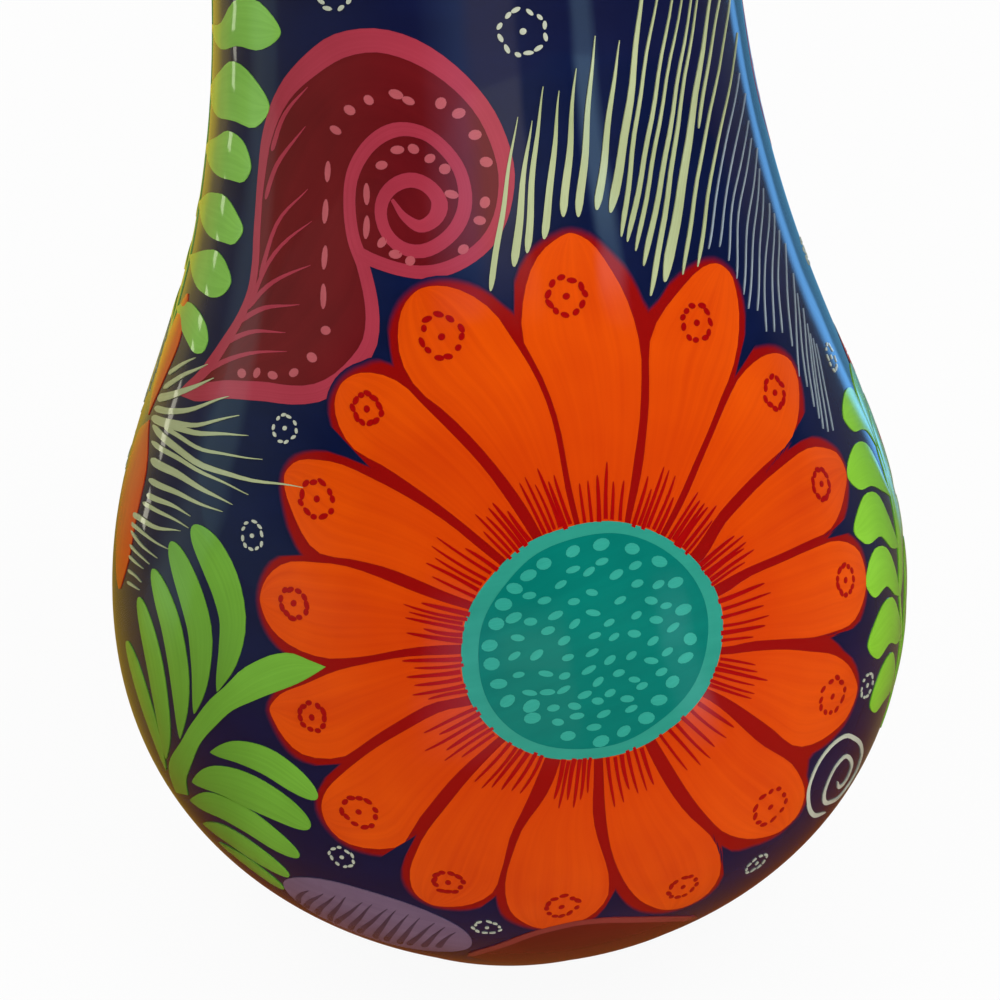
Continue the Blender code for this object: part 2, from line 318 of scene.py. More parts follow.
base_corner = np.array((BASE_RADIUS, 0.0))
flat_end = base_corner - np.array((BASE_ROUND, 0.0))
base_foot = base_corner + heading(BASE_FLARE) * BASE_ROUND
to_corner = BASE_TENSION * (base_corner - flat_end)
back_to_corner = BASE_TENSION * (base_corner - base_foot)
outline = np.vstack([
    bezier(flat_end, flat_end + to_corner, base_foot + back_to_corner, base_foot, 40)[:-1],
    bezier(
        base_foot, base_foot + heading(BASE_FLARE) * BASE_PULL, BELLY - UP * BELLY_DOWN, BELLY, 300,
    )[:-1],
    bezier(BELLY, BELLY + UP * BELLY_UP, WAIST - UP * WAIST_DOWN, WAIST, 400)[:-1],
    bezier(WAIST, WAIST + UP * WAIST_UP, MOUTH - heading(MOUTH_FLARE) * MOUTH_PULL, MOUTH, 200),
])
outline_run = np.concatenate([[0.0], np.cumsum(np.hypot(*np.diff(outline, axis=0).T))])
outline_slope = np.gradient(outline, outline_run, axis=0)
print("outline is", round(outline_run[-1], 1), "mm long")


def wall_radius(run):
    """Return the wall's radius where the outline has run this far from the base."""
    return np.interp(run, outline_run, outline[:, 0])


def run_at(height):
    """Return how far the outline has run when it reaches this height."""
    return np.interp(height, outline[:, 1], outline_run)


def wall_slope(run):
    """Return how far out and how far up the outline goes for each millimetre there."""
    return [np.interp(run, outline_run, outline_slope[:, i]) for i in (0, 1)]


# %% Lean and lip, as the hand left them
LEAN, LEAN_START, LEAN_END = 11.2, 70.6, 300.0
LIP_START, LIP_REACH, LIP_LIFT = 250.0, 13.0, 3.0
LIP_HALF_ANGLE, LIP_PINCH, LIP_PINCH_PLACE = math.radians(24), 0.32, 2.1


def hand_shaped(x, y, z):
    """Move points of the turned form, in millimetres, to their place on the jug, in metres."""
    radius = np.maximum(np.hypot(x, y), 1e-6)
    rise = np.maximum(z - LIP_START, 0.0) / (MOUTH[1] - LIP_START)
    away = np.abs(np.arctan2(x, -y)) / LIP_HALF_ANGLE
    lobe = np.exp(-away**2)
    pinch = LIP_PINCH * np.exp(-((away - LIP_PINCH_PLACE) ** 2))
    grow = 1.0 + LIP_REACH * rise**2 * (lobe - pinch) / radius
    climb = np.clip((z - LEAN_START) / (LEAN_END - LEAN_START), 0.0, 1.0)
    lean = -LEAN * (1.0 - np.cos(np.pi * climb)) / 2
    return np.stack([x * grow + lean, y * grow, z + LIP_LIFT * rise**2 * lobe], axis=-1) * MM


def on_wall(turn, run, lift):
    """Return the points at an angle round the jug, a run up its outline and a lift off its wall."""
    slope_r, slope_z = wall_slope(run)
    radius = wall_radius(run) + lift * slope_z
    height = np.interp(run, outline_run, outline[:, 1]) - lift * slope_r
    return hand_shaped(radius * np.sin(turn), -radius * np.cos(turn), height)


# %% [markdown]
# ## Paint and lacquer
#
# Every colour on the jug is brushed paint under the same clear coat. A brush leaves streaks along
# its way, so each paint mixes a deep and a light tone by a noise that is stretched along the
# stroke's own UV map. The coat is smooth but not flat: a slow noise on the coat's normal makes the
# reflections wave, as they do on a pot that was lacquered by hand. The teal of the flowers' eyes
# carries less of the coat, so no window shows on it. Bare clay shows only inside and underneath.

# %% Paint maker
COAT_ROUGHNESS, COAT_IOR = 0.045, 1.45
PAINT_ROUGHNESS, PAINT_SHINE = 0.34, 0.04
WAVE_SCALE, WAVE_DEPTH, WAVE_STRENGTH = 55.0, 0.0006, 0.35
STREAK_ALONG, STREAK_ACROSS, STREAK_SPREAD, PATCHES = 0.9, 11.0, 0.45, 60.0
ROOT_REACH, ROOT_SHARE = 0.75, 0.85


def srgb(red, green, blue):
    """Turn a colour as a screen shows it (0 to 255) into the linear colour that shaders use."""
    shares = [channel / 255 for channel in (red, green, blue)]
    linear = [c / 12.92 if c < 0.0404 else ((c + 0.055) / 1.055) ** 2.4 for c in shares]
    return (*linear, 1.0)


def lacquer_wave(tree, shader):
    """Give the clear coat its slow hand-made waves."""
    place = add_node(tree, "TexCoord")
    wave = add_node(tree, "TexNoise", Scale=WAVE_SCALE, Detail=1.0)
    bump = add_node(tree, "Bump", Strength=WAVE_STRENGTH, Distance=WAVE_DEPTH)
    tree.links.new(place.outputs["Object"], wave.inputs["Vector"])
    tree.links.new(wave.outputs["Fac"], bump.inputs["Height"])
    tree.links.new(bump.outputs["Normal"], shader.inputs["Coat Normal"])


def new_finish(name):
    """Return a new material with its node tree and its Principled shader."""
    material = bpy.data.materials.new(name)
    material.use_nodes = True
    return material, material.node_tree, material.node_tree.nodes["Principled BSDF"]


def lacquered(name, lacquer=1.0):
    """Return a new finish under clear lacquer: its material, node tree and shader."""
    material, tree, shader = new_finish(name)
    shader.inputs["Roughness"].default_value = PAINT_ROUGHNESS
    shader.inputs["Specular IOR Level"].default_value = PAINT_SHINE
    shader.inputs["Coat Weight"].default_value = lacquer
    shader.inputs["Coat Roughness"].default_value = COAT_ROUGHNESS
    shader.inputs["Coat IOR"].default_value = COAT_IOR
    lacquer_wave(tree, shader)
    return material, tree, shader


def brushed_paint(name, deep, light, root=None, streak=0.9, lacquer=1.0):
    """Make a paint whose tone wanders along the brush's streaks, and starts from a root tone if given."""
    material, tree, shader = lacquered(name, lacquer)
    along = add_node(tree, "UVMap", uv_map="brush")
    stretch = add_node(tree, "Mapping", Scale=(STREAK_ALONG, STREAK_ACROSS, 1.0))
    hairs = add_node(tree, "TexNoise", Scale=1.0, Detail=3.0, Roughness=0.6)
    place = add_node(tree, "TexCoord")
    patches = add_node(tree, "TexNoise", Scale=PATCHES, Detail=2.0)
    both = add_node(tree, "Math", operation="ADD")
    reach = STREAK_SPREAD / streak
    spread = add_node(tree, "MapRange", From_Min=1.0 - reach, From_Max=1.0 + reach)
    tones = add_node(tree, "Mix", data_type="RGBA")
    tones.inputs[6].default_value = deep
    tones.inputs[7].default_value = light
    tree.links.new(along.outputs["UV"], stretch.inputs["Vector"])
    tree.links.new(stretch.outputs["Vector"], hairs.inputs["Vector"])
    tree.links.new(place.outputs["Object"], patches.inputs["Vector"])
    tree.links.new(hairs.outputs["Fac"], both.inputs[0])
    tree.links.new(patches.outputs["Fac"], both.inputs[1])
    tree.links.new(both.outputs[0], spread.inputs["Value"])
    tree.links.new(spread.outputs["Result"], tones.inputs["Factor"])
    colour = tones.outputs[2]
    if root:
        split = add_node(tree, "SeparateXYZ")
        way = add_node(tree, "Math", operation="FRACT")
        fade = add_node(tree, "MapRange", From_Min=0.0, From_Max=ROOT_REACH, To_Min=ROOT_SHARE, To_Max=0.0)
        rooted = add_node(tree, "Mix", data_type="RGBA")
        rooted.inputs[7].default_value = root
        tree.links.new(along.outputs["UV"], split.inputs["Vector"])
        tree.links.new(split.outputs["X"], way.inputs[0])
        tree.links.new(way.outputs[0], fade.inputs["Value"])
        tree.links.new(fade.outputs["Result"], rooted.inputs["Factor"])
        tree.links.new(colour, rooted.inputs[6])
        colour = rooted.outputs[2]
    tree.links.new(colour, shader.inputs["Base Color"])
    return material


# %% Navy ground and bare clay
NAVY_DEEP, NAVY_LIGHT = srgb(6, 13, 44), srgb(12, 24, 66)
CLAY_DEEP, CLAY_LIGHT = srgb(150, 78, 50), srgb(196, 120, 84)
RUB_START = 0.962


def navy_tone(tree):
    """Return the navy's colour: two coats brushed round the jug, never quite even."""
    place = add_node(tree, "TexCoord")
    squash = add_node(tree, "Mapping", Scale=(1.0, 1.0, 3.0))
    cloud = add_node(tree, "TexNoise", Scale=38.0, Detail=4.0, Roughness=0.55)
    tones = add_node(tree, "Mix", data_type="RGBA")
    tones.inputs[6].default_value = NAVY_DEEP
    tones.inputs[7].default_value = NAVY_LIGHT
    tree.links.new(place.outputs["Object"], squash.inputs["Vector"])
    tree.links.new(squash.outputs["Vector"], cloud.inputs["Vector"])
    tree.links.new(cloud.outputs["Fac"], tones.inputs["Factor"])
    return tones.outputs[2]


def navy_ground():
    """Make the navy ground under its lacquer."""
    material, tree, shader = lacquered("navy_ground")
    tree.links.new(navy_tone(tree), shader.inputs["Base Color"])
    return material


def halo_paint(red):
    """Make the red ground of a flower, rubbed out to navy at its outer edge."""
    material, tree, shader = lacquered("flower_ground_paint")
    along = add_node(tree, "UVMap", uv_map="brush")
    split = add_node(tree, "SeparateXYZ")
    rub = add_node(tree, "MapRange", interpolation_type="SMOOTHSTEP", From_Min=RUB_START, From_Max=1.0)
    tones = add_node(tree, "Mix", data_type="RGBA")
    tones.inputs[6].default_value = red
    tree.links.new(along.outputs["UV"], split.inputs["Vector"])
    tree.links.new(split.outputs["Y"], rub.inputs["Value"])
    tree.links.new(rub.outputs["Result"], tones.inputs["Factor"])
    tree.links.new(navy_tone(tree), tones.inputs[7])
    tree.links.new(tones.outputs[2], shader.inputs["Base Color"])
    return material


def bare_clay():
    """Make the bare fired clay, grainy, with the rings that wet fingers leave."""
    material, tree, shader = new_finish("bare_clay")
    shader.inputs["Roughness"].default_value = 0.88
    place = add_node(tree, "TexCoord")
    grain = add_node(tree, "TexNoise", Scale=420.0, Detail=5.0, Roughness=0.7)
    cloud = add_node(tree, "TexNoise", Scale=30.0, Detail=3.0)
    ring_place = add_node(tree, "Mapping", Scale=(4.0, 4.0, 260.0))
    rings = add_node(tree, "TexNoise", Scale=1.0, Detail=2.0)
    tones = add_node(tree, "Mix", data_type="RGBA")
    tones.inputs[6].default_value = CLAY_DEEP
    tones.inputs[7].default_value = CLAY_LIGHT
    relief = add_node(tree, "Math", operation="ADD")
    bump = add_node(tree, "Bump", Strength=0.5, Distance=0.0006)
    tree.links.new(place.outputs["Object"], grain.inputs["Vector"])
    tree.links.new(place.outputs["Object"], cloud.inputs["Vector"])
    tree.links.new(place.outputs["Object"], ring_place.inputs["Vector"])
    tree.links.new(ring_place.outputs["Vector"], rings.inputs["Vector"])
    tree.links.new(cloud.outputs["Fac"], tones.inputs["Factor"])
    tree.links.new(tones.outputs[2], shader.inputs["Base Color"])
    tree.links.new(grain.outputs["Fac"], relief.inputs[0])
    tree.links.new(rings.outputs["Fac"], relief.inputs[1])
    tree.links.new(relief.outputs[0], bump.inputs["Height"])
    tree.links.new(bump.outputs["Normal"], shader.inputs["Normal"])
    return material


NAVY = navy_ground()
CLAY = bare_clay()

# %% [markdown]
# ## The smooth body
#
# The potter rubs the seams away, so the body is one skin: underside, outer wall, rolled rim, inner
# wall and floor, spun as a single profile. The coils behind the seams stay as soft ridges inside. A
# spin is the natural tool, because the real body was turned on a banding wheel.

# %% Profile of the skin
WALL_LOW, WALL_HIGH = 6.5, 5.0
FLOOR_RADIUS, FLOOR_THICKNESS = 31.0, 8.0
SEAMS = (19.0, 76.0, 165.0, 251.0)
RIDGE, RIDGE_HALF = 2.6, 5.0
RIM_HEIGHT, RIM_OVERHANG, RIM_TUCK = 7.5, 1.8, math.radians(20)
MIDDLE_RADIUS, INNER_LOW = 16.0, 6.0
OUTER_RINGS, RIM_RINGS, INNER_RINGS, BODY_STEPS = 170, 18, 110, 240


def sunk(height, depth):
    """Return the point of the wall at this height, sunk in by depth."""
    run = run_at(height)
    slope_r, slope_z = wall_slope(run)
    return np.array((wall_radius(run) - depth * slope_z, height + depth * slope_r))


def inner_wall(height):
    """Return the inner wall's radius and height opposite this height of the outline."""
    thick = WALL_LOW + (WALL_HIGH - WALL_LOW) * height / MOUTH[1]
    thick += sum(RIDGE * math.exp(-(((height - seam) / RIDGE_HALF) ** 2)) for seam in SEAMS)
    return sunk(height, thick)


def rim_profile(count):
    """Return the rolled rim's section, from the outer wall over the crown to the inner wall."""
    inner = inner_wall(MOUTH[1])
    middle = (MOUTH + inner) / 2
    half = np.linalg.norm(MOUTH - inner) / 2 + RIM_OVERHANG
    angles = np.linspace(-RIM_TUCK, math.pi + RIM_TUCK, count)
    lift = RIM_HEIGHT / 2 * (1.0 + np.sin(angles))
    return np.stack([middle[0] + half * np.cos(angles), middle[1] + lift], axis=1)


body_runs = np.linspace(0.0, outline_run[-1], OUTER_RINGS)
outer_part = np.stack([np.interp(body_runs, outline_run, outline[:, i]) for i in (0, 1)], axis=1)
inner_part = np.array([inner_wall(h) for h in np.linspace(MOUTH[1], INNER_LOW, INNER_RINGS)])
floor_part = np.array([(radius, FLOOR_THICKNESS) for radius in (FLOOR_RADIUS, MIDDLE_RADIUS, 0.0)])
under_part = np.array([(0.0, 0.0), (MIDDLE_RADIUS, 0.0)])
skin_profile = np.vstack([under_part, outer_part, rim_profile(RIM_RINGS), inner_part, floor_part])

# %% Spin the body
def add_piece(name, bm, materials, recalculate=True):
    """Turn a bmesh into a smooth piece at the origin that rides on the jug."""
    if recalculate:
        bmesh.ops.recalc_face_normals(bm, faces=bm.faces[:])
    mesh = bpy.data.meshes.new(name)
    bm.to_mesh(mesh)
    bm.free()
    mesh.shade_smooth()
    for material in materials:
        mesh.materials.append(material)
    piece = bpy.data.objects.new(name, mesh)
    bpy.context.scene.collection.objects.link(piece)
    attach(piece, BODY)
    print(name, "has", len(mesh.polygons), "faces")
    return piece


def shape_by_hand(bm):
    """Move every vertex of a turned form, in millimetres, to its place on the jug."""
    places = hand_shaped(*np.array([vert.co for vert in bm.verts]).T)
    for vert, place in zip(bm.verts, places):
        vert.co = place


body_bm = bmesh.new()
skin_verts = [body_bm.verts.new((r, 0.0, z)) for r, z in skin_profile]
skin_edges = [body_bm.edges.new(pair) for pair in zip(skin_verts, skin_verts[1:])]
bmesh.ops.spin(
    body_bm, geom=skin_verts + skin_edges, cent=(0, 0, 0), axis=(0, 0, 1),
    angle=2 * math.pi, steps=BODY_STEPS, use_merge=True,
)
bmesh.ops.remove_doubles(body_bm, verts=body_bm.verts[:], dist=1e-4)
for face in body_bm.faces:
    middle = face.calc_center_median()
    reach = math.hypot(middle.x, middle.y)
    inside = middle.z < MOUTH[1] and reach < wall_radius(run_at(middle.z)) - WALL_HIGH / 2
    face.material_index = 1 if inside or middle.z < 0.01 else 0
shape_by_hand(body_bm)
painted_body = add_piece("painted_body", body_bm, [NAVY, CLAY])
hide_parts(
    "base_dish", "lower_bowl", "upper_bowl", "neck_tube", "mouth_collar", "rim_roll",
    "base_seam_coil", "belly_seam_coil", "neck_seam_coil", "mouth_seam_coil",
)

# %% [markdown]
# ## The strap handle
#
# A strap is pulled from a lump of wet clay, bent over and thumbed on at both ends. It is widest
# where it meets the wall. Oval rings along one Bezier path are bridged into it, with the ends sunk
# in the wall.

# %% Bridge the strap
HANDLE_TOP, HANDLE_FOOT, ROOT_SINK = 266.0, 124.0, 4.0
TOP_TILT, FOOT_TILT = math.radians(24), math.radians(30)
TOP_PULL, FOOT_PULL = 69.0, 63.0
HALF_WIDTH, HALF_THICKNESS = 11.4, 5.2
ROOT_SWELL, ROOT_POWER = 0.62, 7
STRAP_RINGS, STRAP_SIDES = 72, 32

strap_top, strap_foot = sunk(HANDLE_TOP, ROOT_SINK), sunk(HANDLE_FOOT, ROOT_SINK)
strap_path = bezier(
    strap_top, strap_top + heading(TOP_TILT) * TOP_PULL,
    strap_foot + heading(FOOT_TILT) * FOOT_PULL, strap_foot, STRAP_RINGS + 1,
)
strap_way = np.gradient(strap_path, axis=0)
strap_way /= np.linalg.norm(strap_way, axis=1)[:, None]


def strap_swell(share):
    """Return how much the strap swells at this share of its length."""
    return 1.0 + ROOT_SWELL * abs(2 * share - 1) ** ROOT_POWER


strap_bm = bmesh.new()
strap_loops = []
for index, (middle, way) in enumerate(zip(strap_path, strap_way)):
    ring = bmesh.ops.create_circle(strap_bm, segments=STRAP_SIDES, radius=1.0)["verts"]
    swell = strap_swell(index / STRAP_RINGS)
    for vert in ring:
        side = vert.co.x * HALF_WIDTH * swell
        spot = middle + np.array((-way[1], way[0])) * (vert.co.y * HALF_THICKNESS * swell)
        vert.co = (side, spot[0], spot[1])
    strap_loops.append(list({edge for vert in ring for edge in vert.link_edges}))
for near, far in zip(strap_loops, strap_loops[1:]):
    bmesh.ops.bridge_loops(strap_bm, edges=near + far)
bmesh.ops.holes_fill(strap_bm, edges=strap_bm.edges[:], sides=STRAP_SIDES)
shape_by_hand(strap_bm)
painted_handle = add_piece("painted_handle", strap_bm, [NAVY])
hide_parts("strap_handle")

# %% [markdown]
# ## A brush for a round wall
#
# Every motif is a set of brush strokes, drawn flat in millimetres round an anchor point on the jug
# and then wrapped on the wall. Wrapping follows shortest lines on the wall from the anchor, so a
# round flower stays round. A stroke starts as a grid: its rows run along the stroke and its columns
# across it. A dab is a grid pressed into a disc. Each one gets a thin closed body, like the skin of
# paint that a full brush leaves.

# %% Paths and pressure of the brush
chance = random.Random(7)


def polar(radius, degrees):
    """Return the flat point at this distance and direction."""
    return np.array((radius * math.cos(math.radians(degrees)), radius * math.sin(math.radians(degrees))))


def bow(start, end, bend):
    """Return a path from start to end that bows sideways by bend."""
    start, end = np.asarray(start, float), np.asarray(end, float)
    aside = np.array((start[1] - end[1], end[0] - start[0]))
    aside = aside / np.linalg.norm(aside)
    return lambda t: start + (end - start) * t + aside * (4.0 * bend * t * (1.0 - t))


def through(*points):
    """Return a smooth path through the points."""
    spots = np.array(points, float)
    marks = np.concatenate([[0.0], np.cumsum(np.linalg.norm(np.diff(spots, axis=0), axis=1))])
    marks /= marks[-1]
    slopes = np.gradient(spots, marks, axis=0)

    def path(t):
        i = min(max(int(np.searchsorted(marks, t, side="right")) - 1, 0), len(marks) - 2)
        span = marks[i + 1] - marks[i]
        u = (t - marks[i]) / span
        near, far = (1 + 2 * u) * (1 - u) ** 2, u * u * (3 - 2 * u)
        leave, arrive = span * u * (1 - u) ** 2, span * u * u * (u - 1)
        return near * spots[i] + far * spots[i + 1] + leave * slopes[i] + arrive * slopes[i + 1]

    return path


def two_sides(up, back):
    """Return the two sides of a shape that is drawn up to its tip and back, round at the tip."""
    spots = np.array((*up, *back), float)
    lengths = np.linalg.norm(np.diff(spots, axis=0), axis=1)
    tip = lengths[: len(up) - 1].sum() / lengths.sum()
    path = through(*spots)
    return (lambda t: path(tip * t)), (lambda t: path(1.0 - (1.0 - tip) * t))


def even(width):
    """Return the half width of a line with round ends."""
    return lambda t: width * min(1.0, math.sqrt(max(t * (1.0 - t), 0.0)) * 5.0)


def flick(width):
    """Return the half width of a stroke that lands round, holds and lifts off to a hair."""
    return lambda t: width * min(1.0, math.sqrt(t * 14.0)) * (1.0 - t**1.7) + 0.05


def pressed(shares, widths):
    """Return a half width that passes through these values at these shares of the way."""
    return lambda t: float(np.interp(t, shares, widths))


def drop(width):
    """Return the half width of a long leaf: a fine tip first, then fat, with a round end."""
    return lambda t: width * 2.38 * t**0.8 * math.sqrt(max(1.0 - t, 0.0)) + 0.02


# %% Films and ribbons of paint
LAYER = 0.035
FILM_SINK = -0.05
WRAP_STEPS = 24


def set_film(bm, places, layer, order, dome=0.0):
    """Put a film's vertices at their flat places and keep how far along and across the brush they lie."""
    uv = bm.loops.layers.uv["brush"]
    for vert, (x, y, share, side) in places.items():
        vert.co = (x, y, LAYER * layer + dome * 16.0 * share * (1.0 - share) * side * (1.0 - side))
    for face in {face for vert in places for face in vert.link_faces}:
        for loop in face.loops:
            share, side = places[loop.vert][2:]
            loop[uv].uv = (share * 0.99 + 3.0 * order, side)


def ribbon(bm, left, right, rows, columns, layer, order=0, ring=False, dome=0.0):
    """Lay paint between two edges, each a function of the share of the way along."""
    grid = bmesh.ops.create_grid(bm, x_segments=rows, y_segments=columns, size=1.0)["verts"]
    places, edges = {}, {}
    for vert in grid:
        share = round((vert.co.x + 1.0) / 2, 5)
        side = (vert.co.y + 1.0) / 2
        if not ring:
            share = (1.0 - math.cos(math.pi * share)) / 2
        if share not in edges:
            edges[share] = left(share), right(share)
        x, y = edges[share][0] * (1.0 - side) + edges[share][1] * side
        places[vert] = (x, y, share, side)
    set_film(bm, places, layer, order, dome)
    if ring:
        bmesh.ops.remove_doubles(bm, verts=grid, dist=1e-4)


# %% Strokes, dabs and dotted rings
def stroke(bm, path, half_width, rows, layer, order=0, columns=1, dome=0.0):
    """Pull a brush along a path, pressed to a half width that follows the share of the way."""
    def edge(share, sign):
        ahead, behind = path(min(share + 0.004, 1.0)), path(max(share - 0.004, 0.0))
        way = (ahead - behind) / max(np.linalg.norm(ahead - behind), 1e-9)
        return path(share) + sign * half_width(share) * np.array((-way[1], way[0]))

    ribbon(bm, lambda t: edge(t, 1.0), lambda t: edge(t, -1.0), rows, columns, layer, order, dome=dome)


def dab(bm, middle, half_length, half_width, degrees, layer, order=0, cells=3):
    """Press an oval dab of paint."""
    grid = bmesh.ops.create_grid(bm, x_segments=cells, y_segments=cells, size=1.0)["verts"]
    along = polar(half_length, degrees)
    aside = polar(half_width, degrees + 90)
    places = {}
    for vert in grid:
        u = vert.co.x * math.sqrt(1.0 - vert.co.y**2 / 2)
        v = vert.co.y * math.sqrt(1.0 - vert.co.x**2 / 2)
        x, y = np.asarray(middle) + along * u + aside * v
        places[vert] = (x, y, (u + 1.0) / 2, (v + 1.0) / 2)
    set_film(bm, places, layer, order)


def dotted_ring(bm, middle, radius, dashes, size, layer, plump=0.62):
    """Dab a ring of short dashes with a dot in the middle."""
    start = chance.uniform(0.0, 360.0)
    for index in range(dashes):
        degrees = start + 360.0 / dashes * (index + chance.uniform(-0.18, 0.18))
        spot = np.asarray(middle) + polar(radius * chance.uniform(0.92, 1.08), degrees)
        length = size * chance.uniform(0.75, 1.2)
        dab(bm, spot, length, size * plump, degrees + 90 + chance.uniform(-25, 25), layer, index)
    dab(bm, middle, size * 0.8, size * 0.7, chance.uniform(0, 90), layer, dashes)


# %% Wrap a flat drawing on the wall
def unsteady(across, along):
    """Return how far an unsteady hand strays: slow waves, so that neighbours stray together."""
    return 0.35 * np.sin(0.11 * across + 1.0) + 0.10 * np.sin(0.37 * across + 0.23 * along + 2.0)


def wrap(anchor, flat):
    """Return where flat points (x, y, lift) land when they are wrapped from the anchor on the wall."""
    x, y, lift = flat.T
    x, y = x + unsteady(y, x), y + unsteady(x, y)
    step = np.hypot(x, y) / WRAP_STEPS
    way = np.arctan2(y, x)
    turn = np.full(len(x), math.radians(anchor[0]))
    run = np.full(len(x), float(run_at(anchor[1])))

    def bend(at, toward):
        slope = np.interp(at, outline_run, outline_slope[:, 0])
        return slope * np.cos(toward) / wall_radius(at)

    for _ in range(WRAP_STEPS):
        half_way = way + step / 2 * bend(run, way)
        half_run = run + step / 2 * np.sin(way)
        turn = turn + step * np.cos(half_way) / wall_radius(half_run)
        run = run + step * np.sin(half_way)
        way = way + step * bend(half_run, half_way)
    return on_wall(turn, run, lift)


# %% One piece from many drawings
def mirrored(draw):
    """Return the same drawing with left and right swapped."""
    def flipped(bm):
        draw(bm)
        bmesh.ops.scale(bm, vec=(-1.0, 1.0, 1.0), verts=bm.verts[:])

    return flipped


def paint_piece(name, material, drawings):
    """Make one piece from drawings, each an anchor on the wall (none is the strap) and a function."""
    whole = bpy.data.meshes.new(name + "_flat")
    whole_bm = bmesh.new()
    for anchor, draw in drawings:
        bm = bmesh.new()
        bm.loops.layers.uv.new("brush")
        draw(bm)
        below = bmesh.ops.extrude_face_region(bm, geom=bm.faces[:], use_keep_orig=True)["geom"]
        for part in below:
            if isinstance(part, bmesh.types.BMVert):
                part.co.z = FILM_SINK
        bmesh.ops.recalc_face_normals(bm, faces=bm.faces[:])
        flat = np.array([vert.co for vert in bm.verts])
        places = wrap(anchor, flat) if anchor else wrap_strap(flat)
        for vert, place in zip(bm.verts, places):
            vert.co = place
        bm.to_mesh(whole)
        bm.free()
        whole_bm.from_mesh(whole)
    bpy.data.meshes.remove(whole)
    piece = add_piece(name, whole_bm, [material], recalculate=False)
    piece.data.set_sharp_from_angle(angle=math.radians(40))
    return piece


# %% [markdown]
# ## The big flowers
#
# Sixteen orange petals stand round a teal eye. The painter first laid a red ground a little larger
# than the flower and rubbed its edge out, then brushed the petals on it, so a red line is left
# between neighbours and a soft dark halo round the tips. No two petals are alike, so each one has
# its own two sides, drawn in millimetres round the flower's middle: the left side runs from the eye
# to the tip, and the right side stops short of it. Red hairs run out from the eye, and each petal
# carries a dotted ring near its tip.

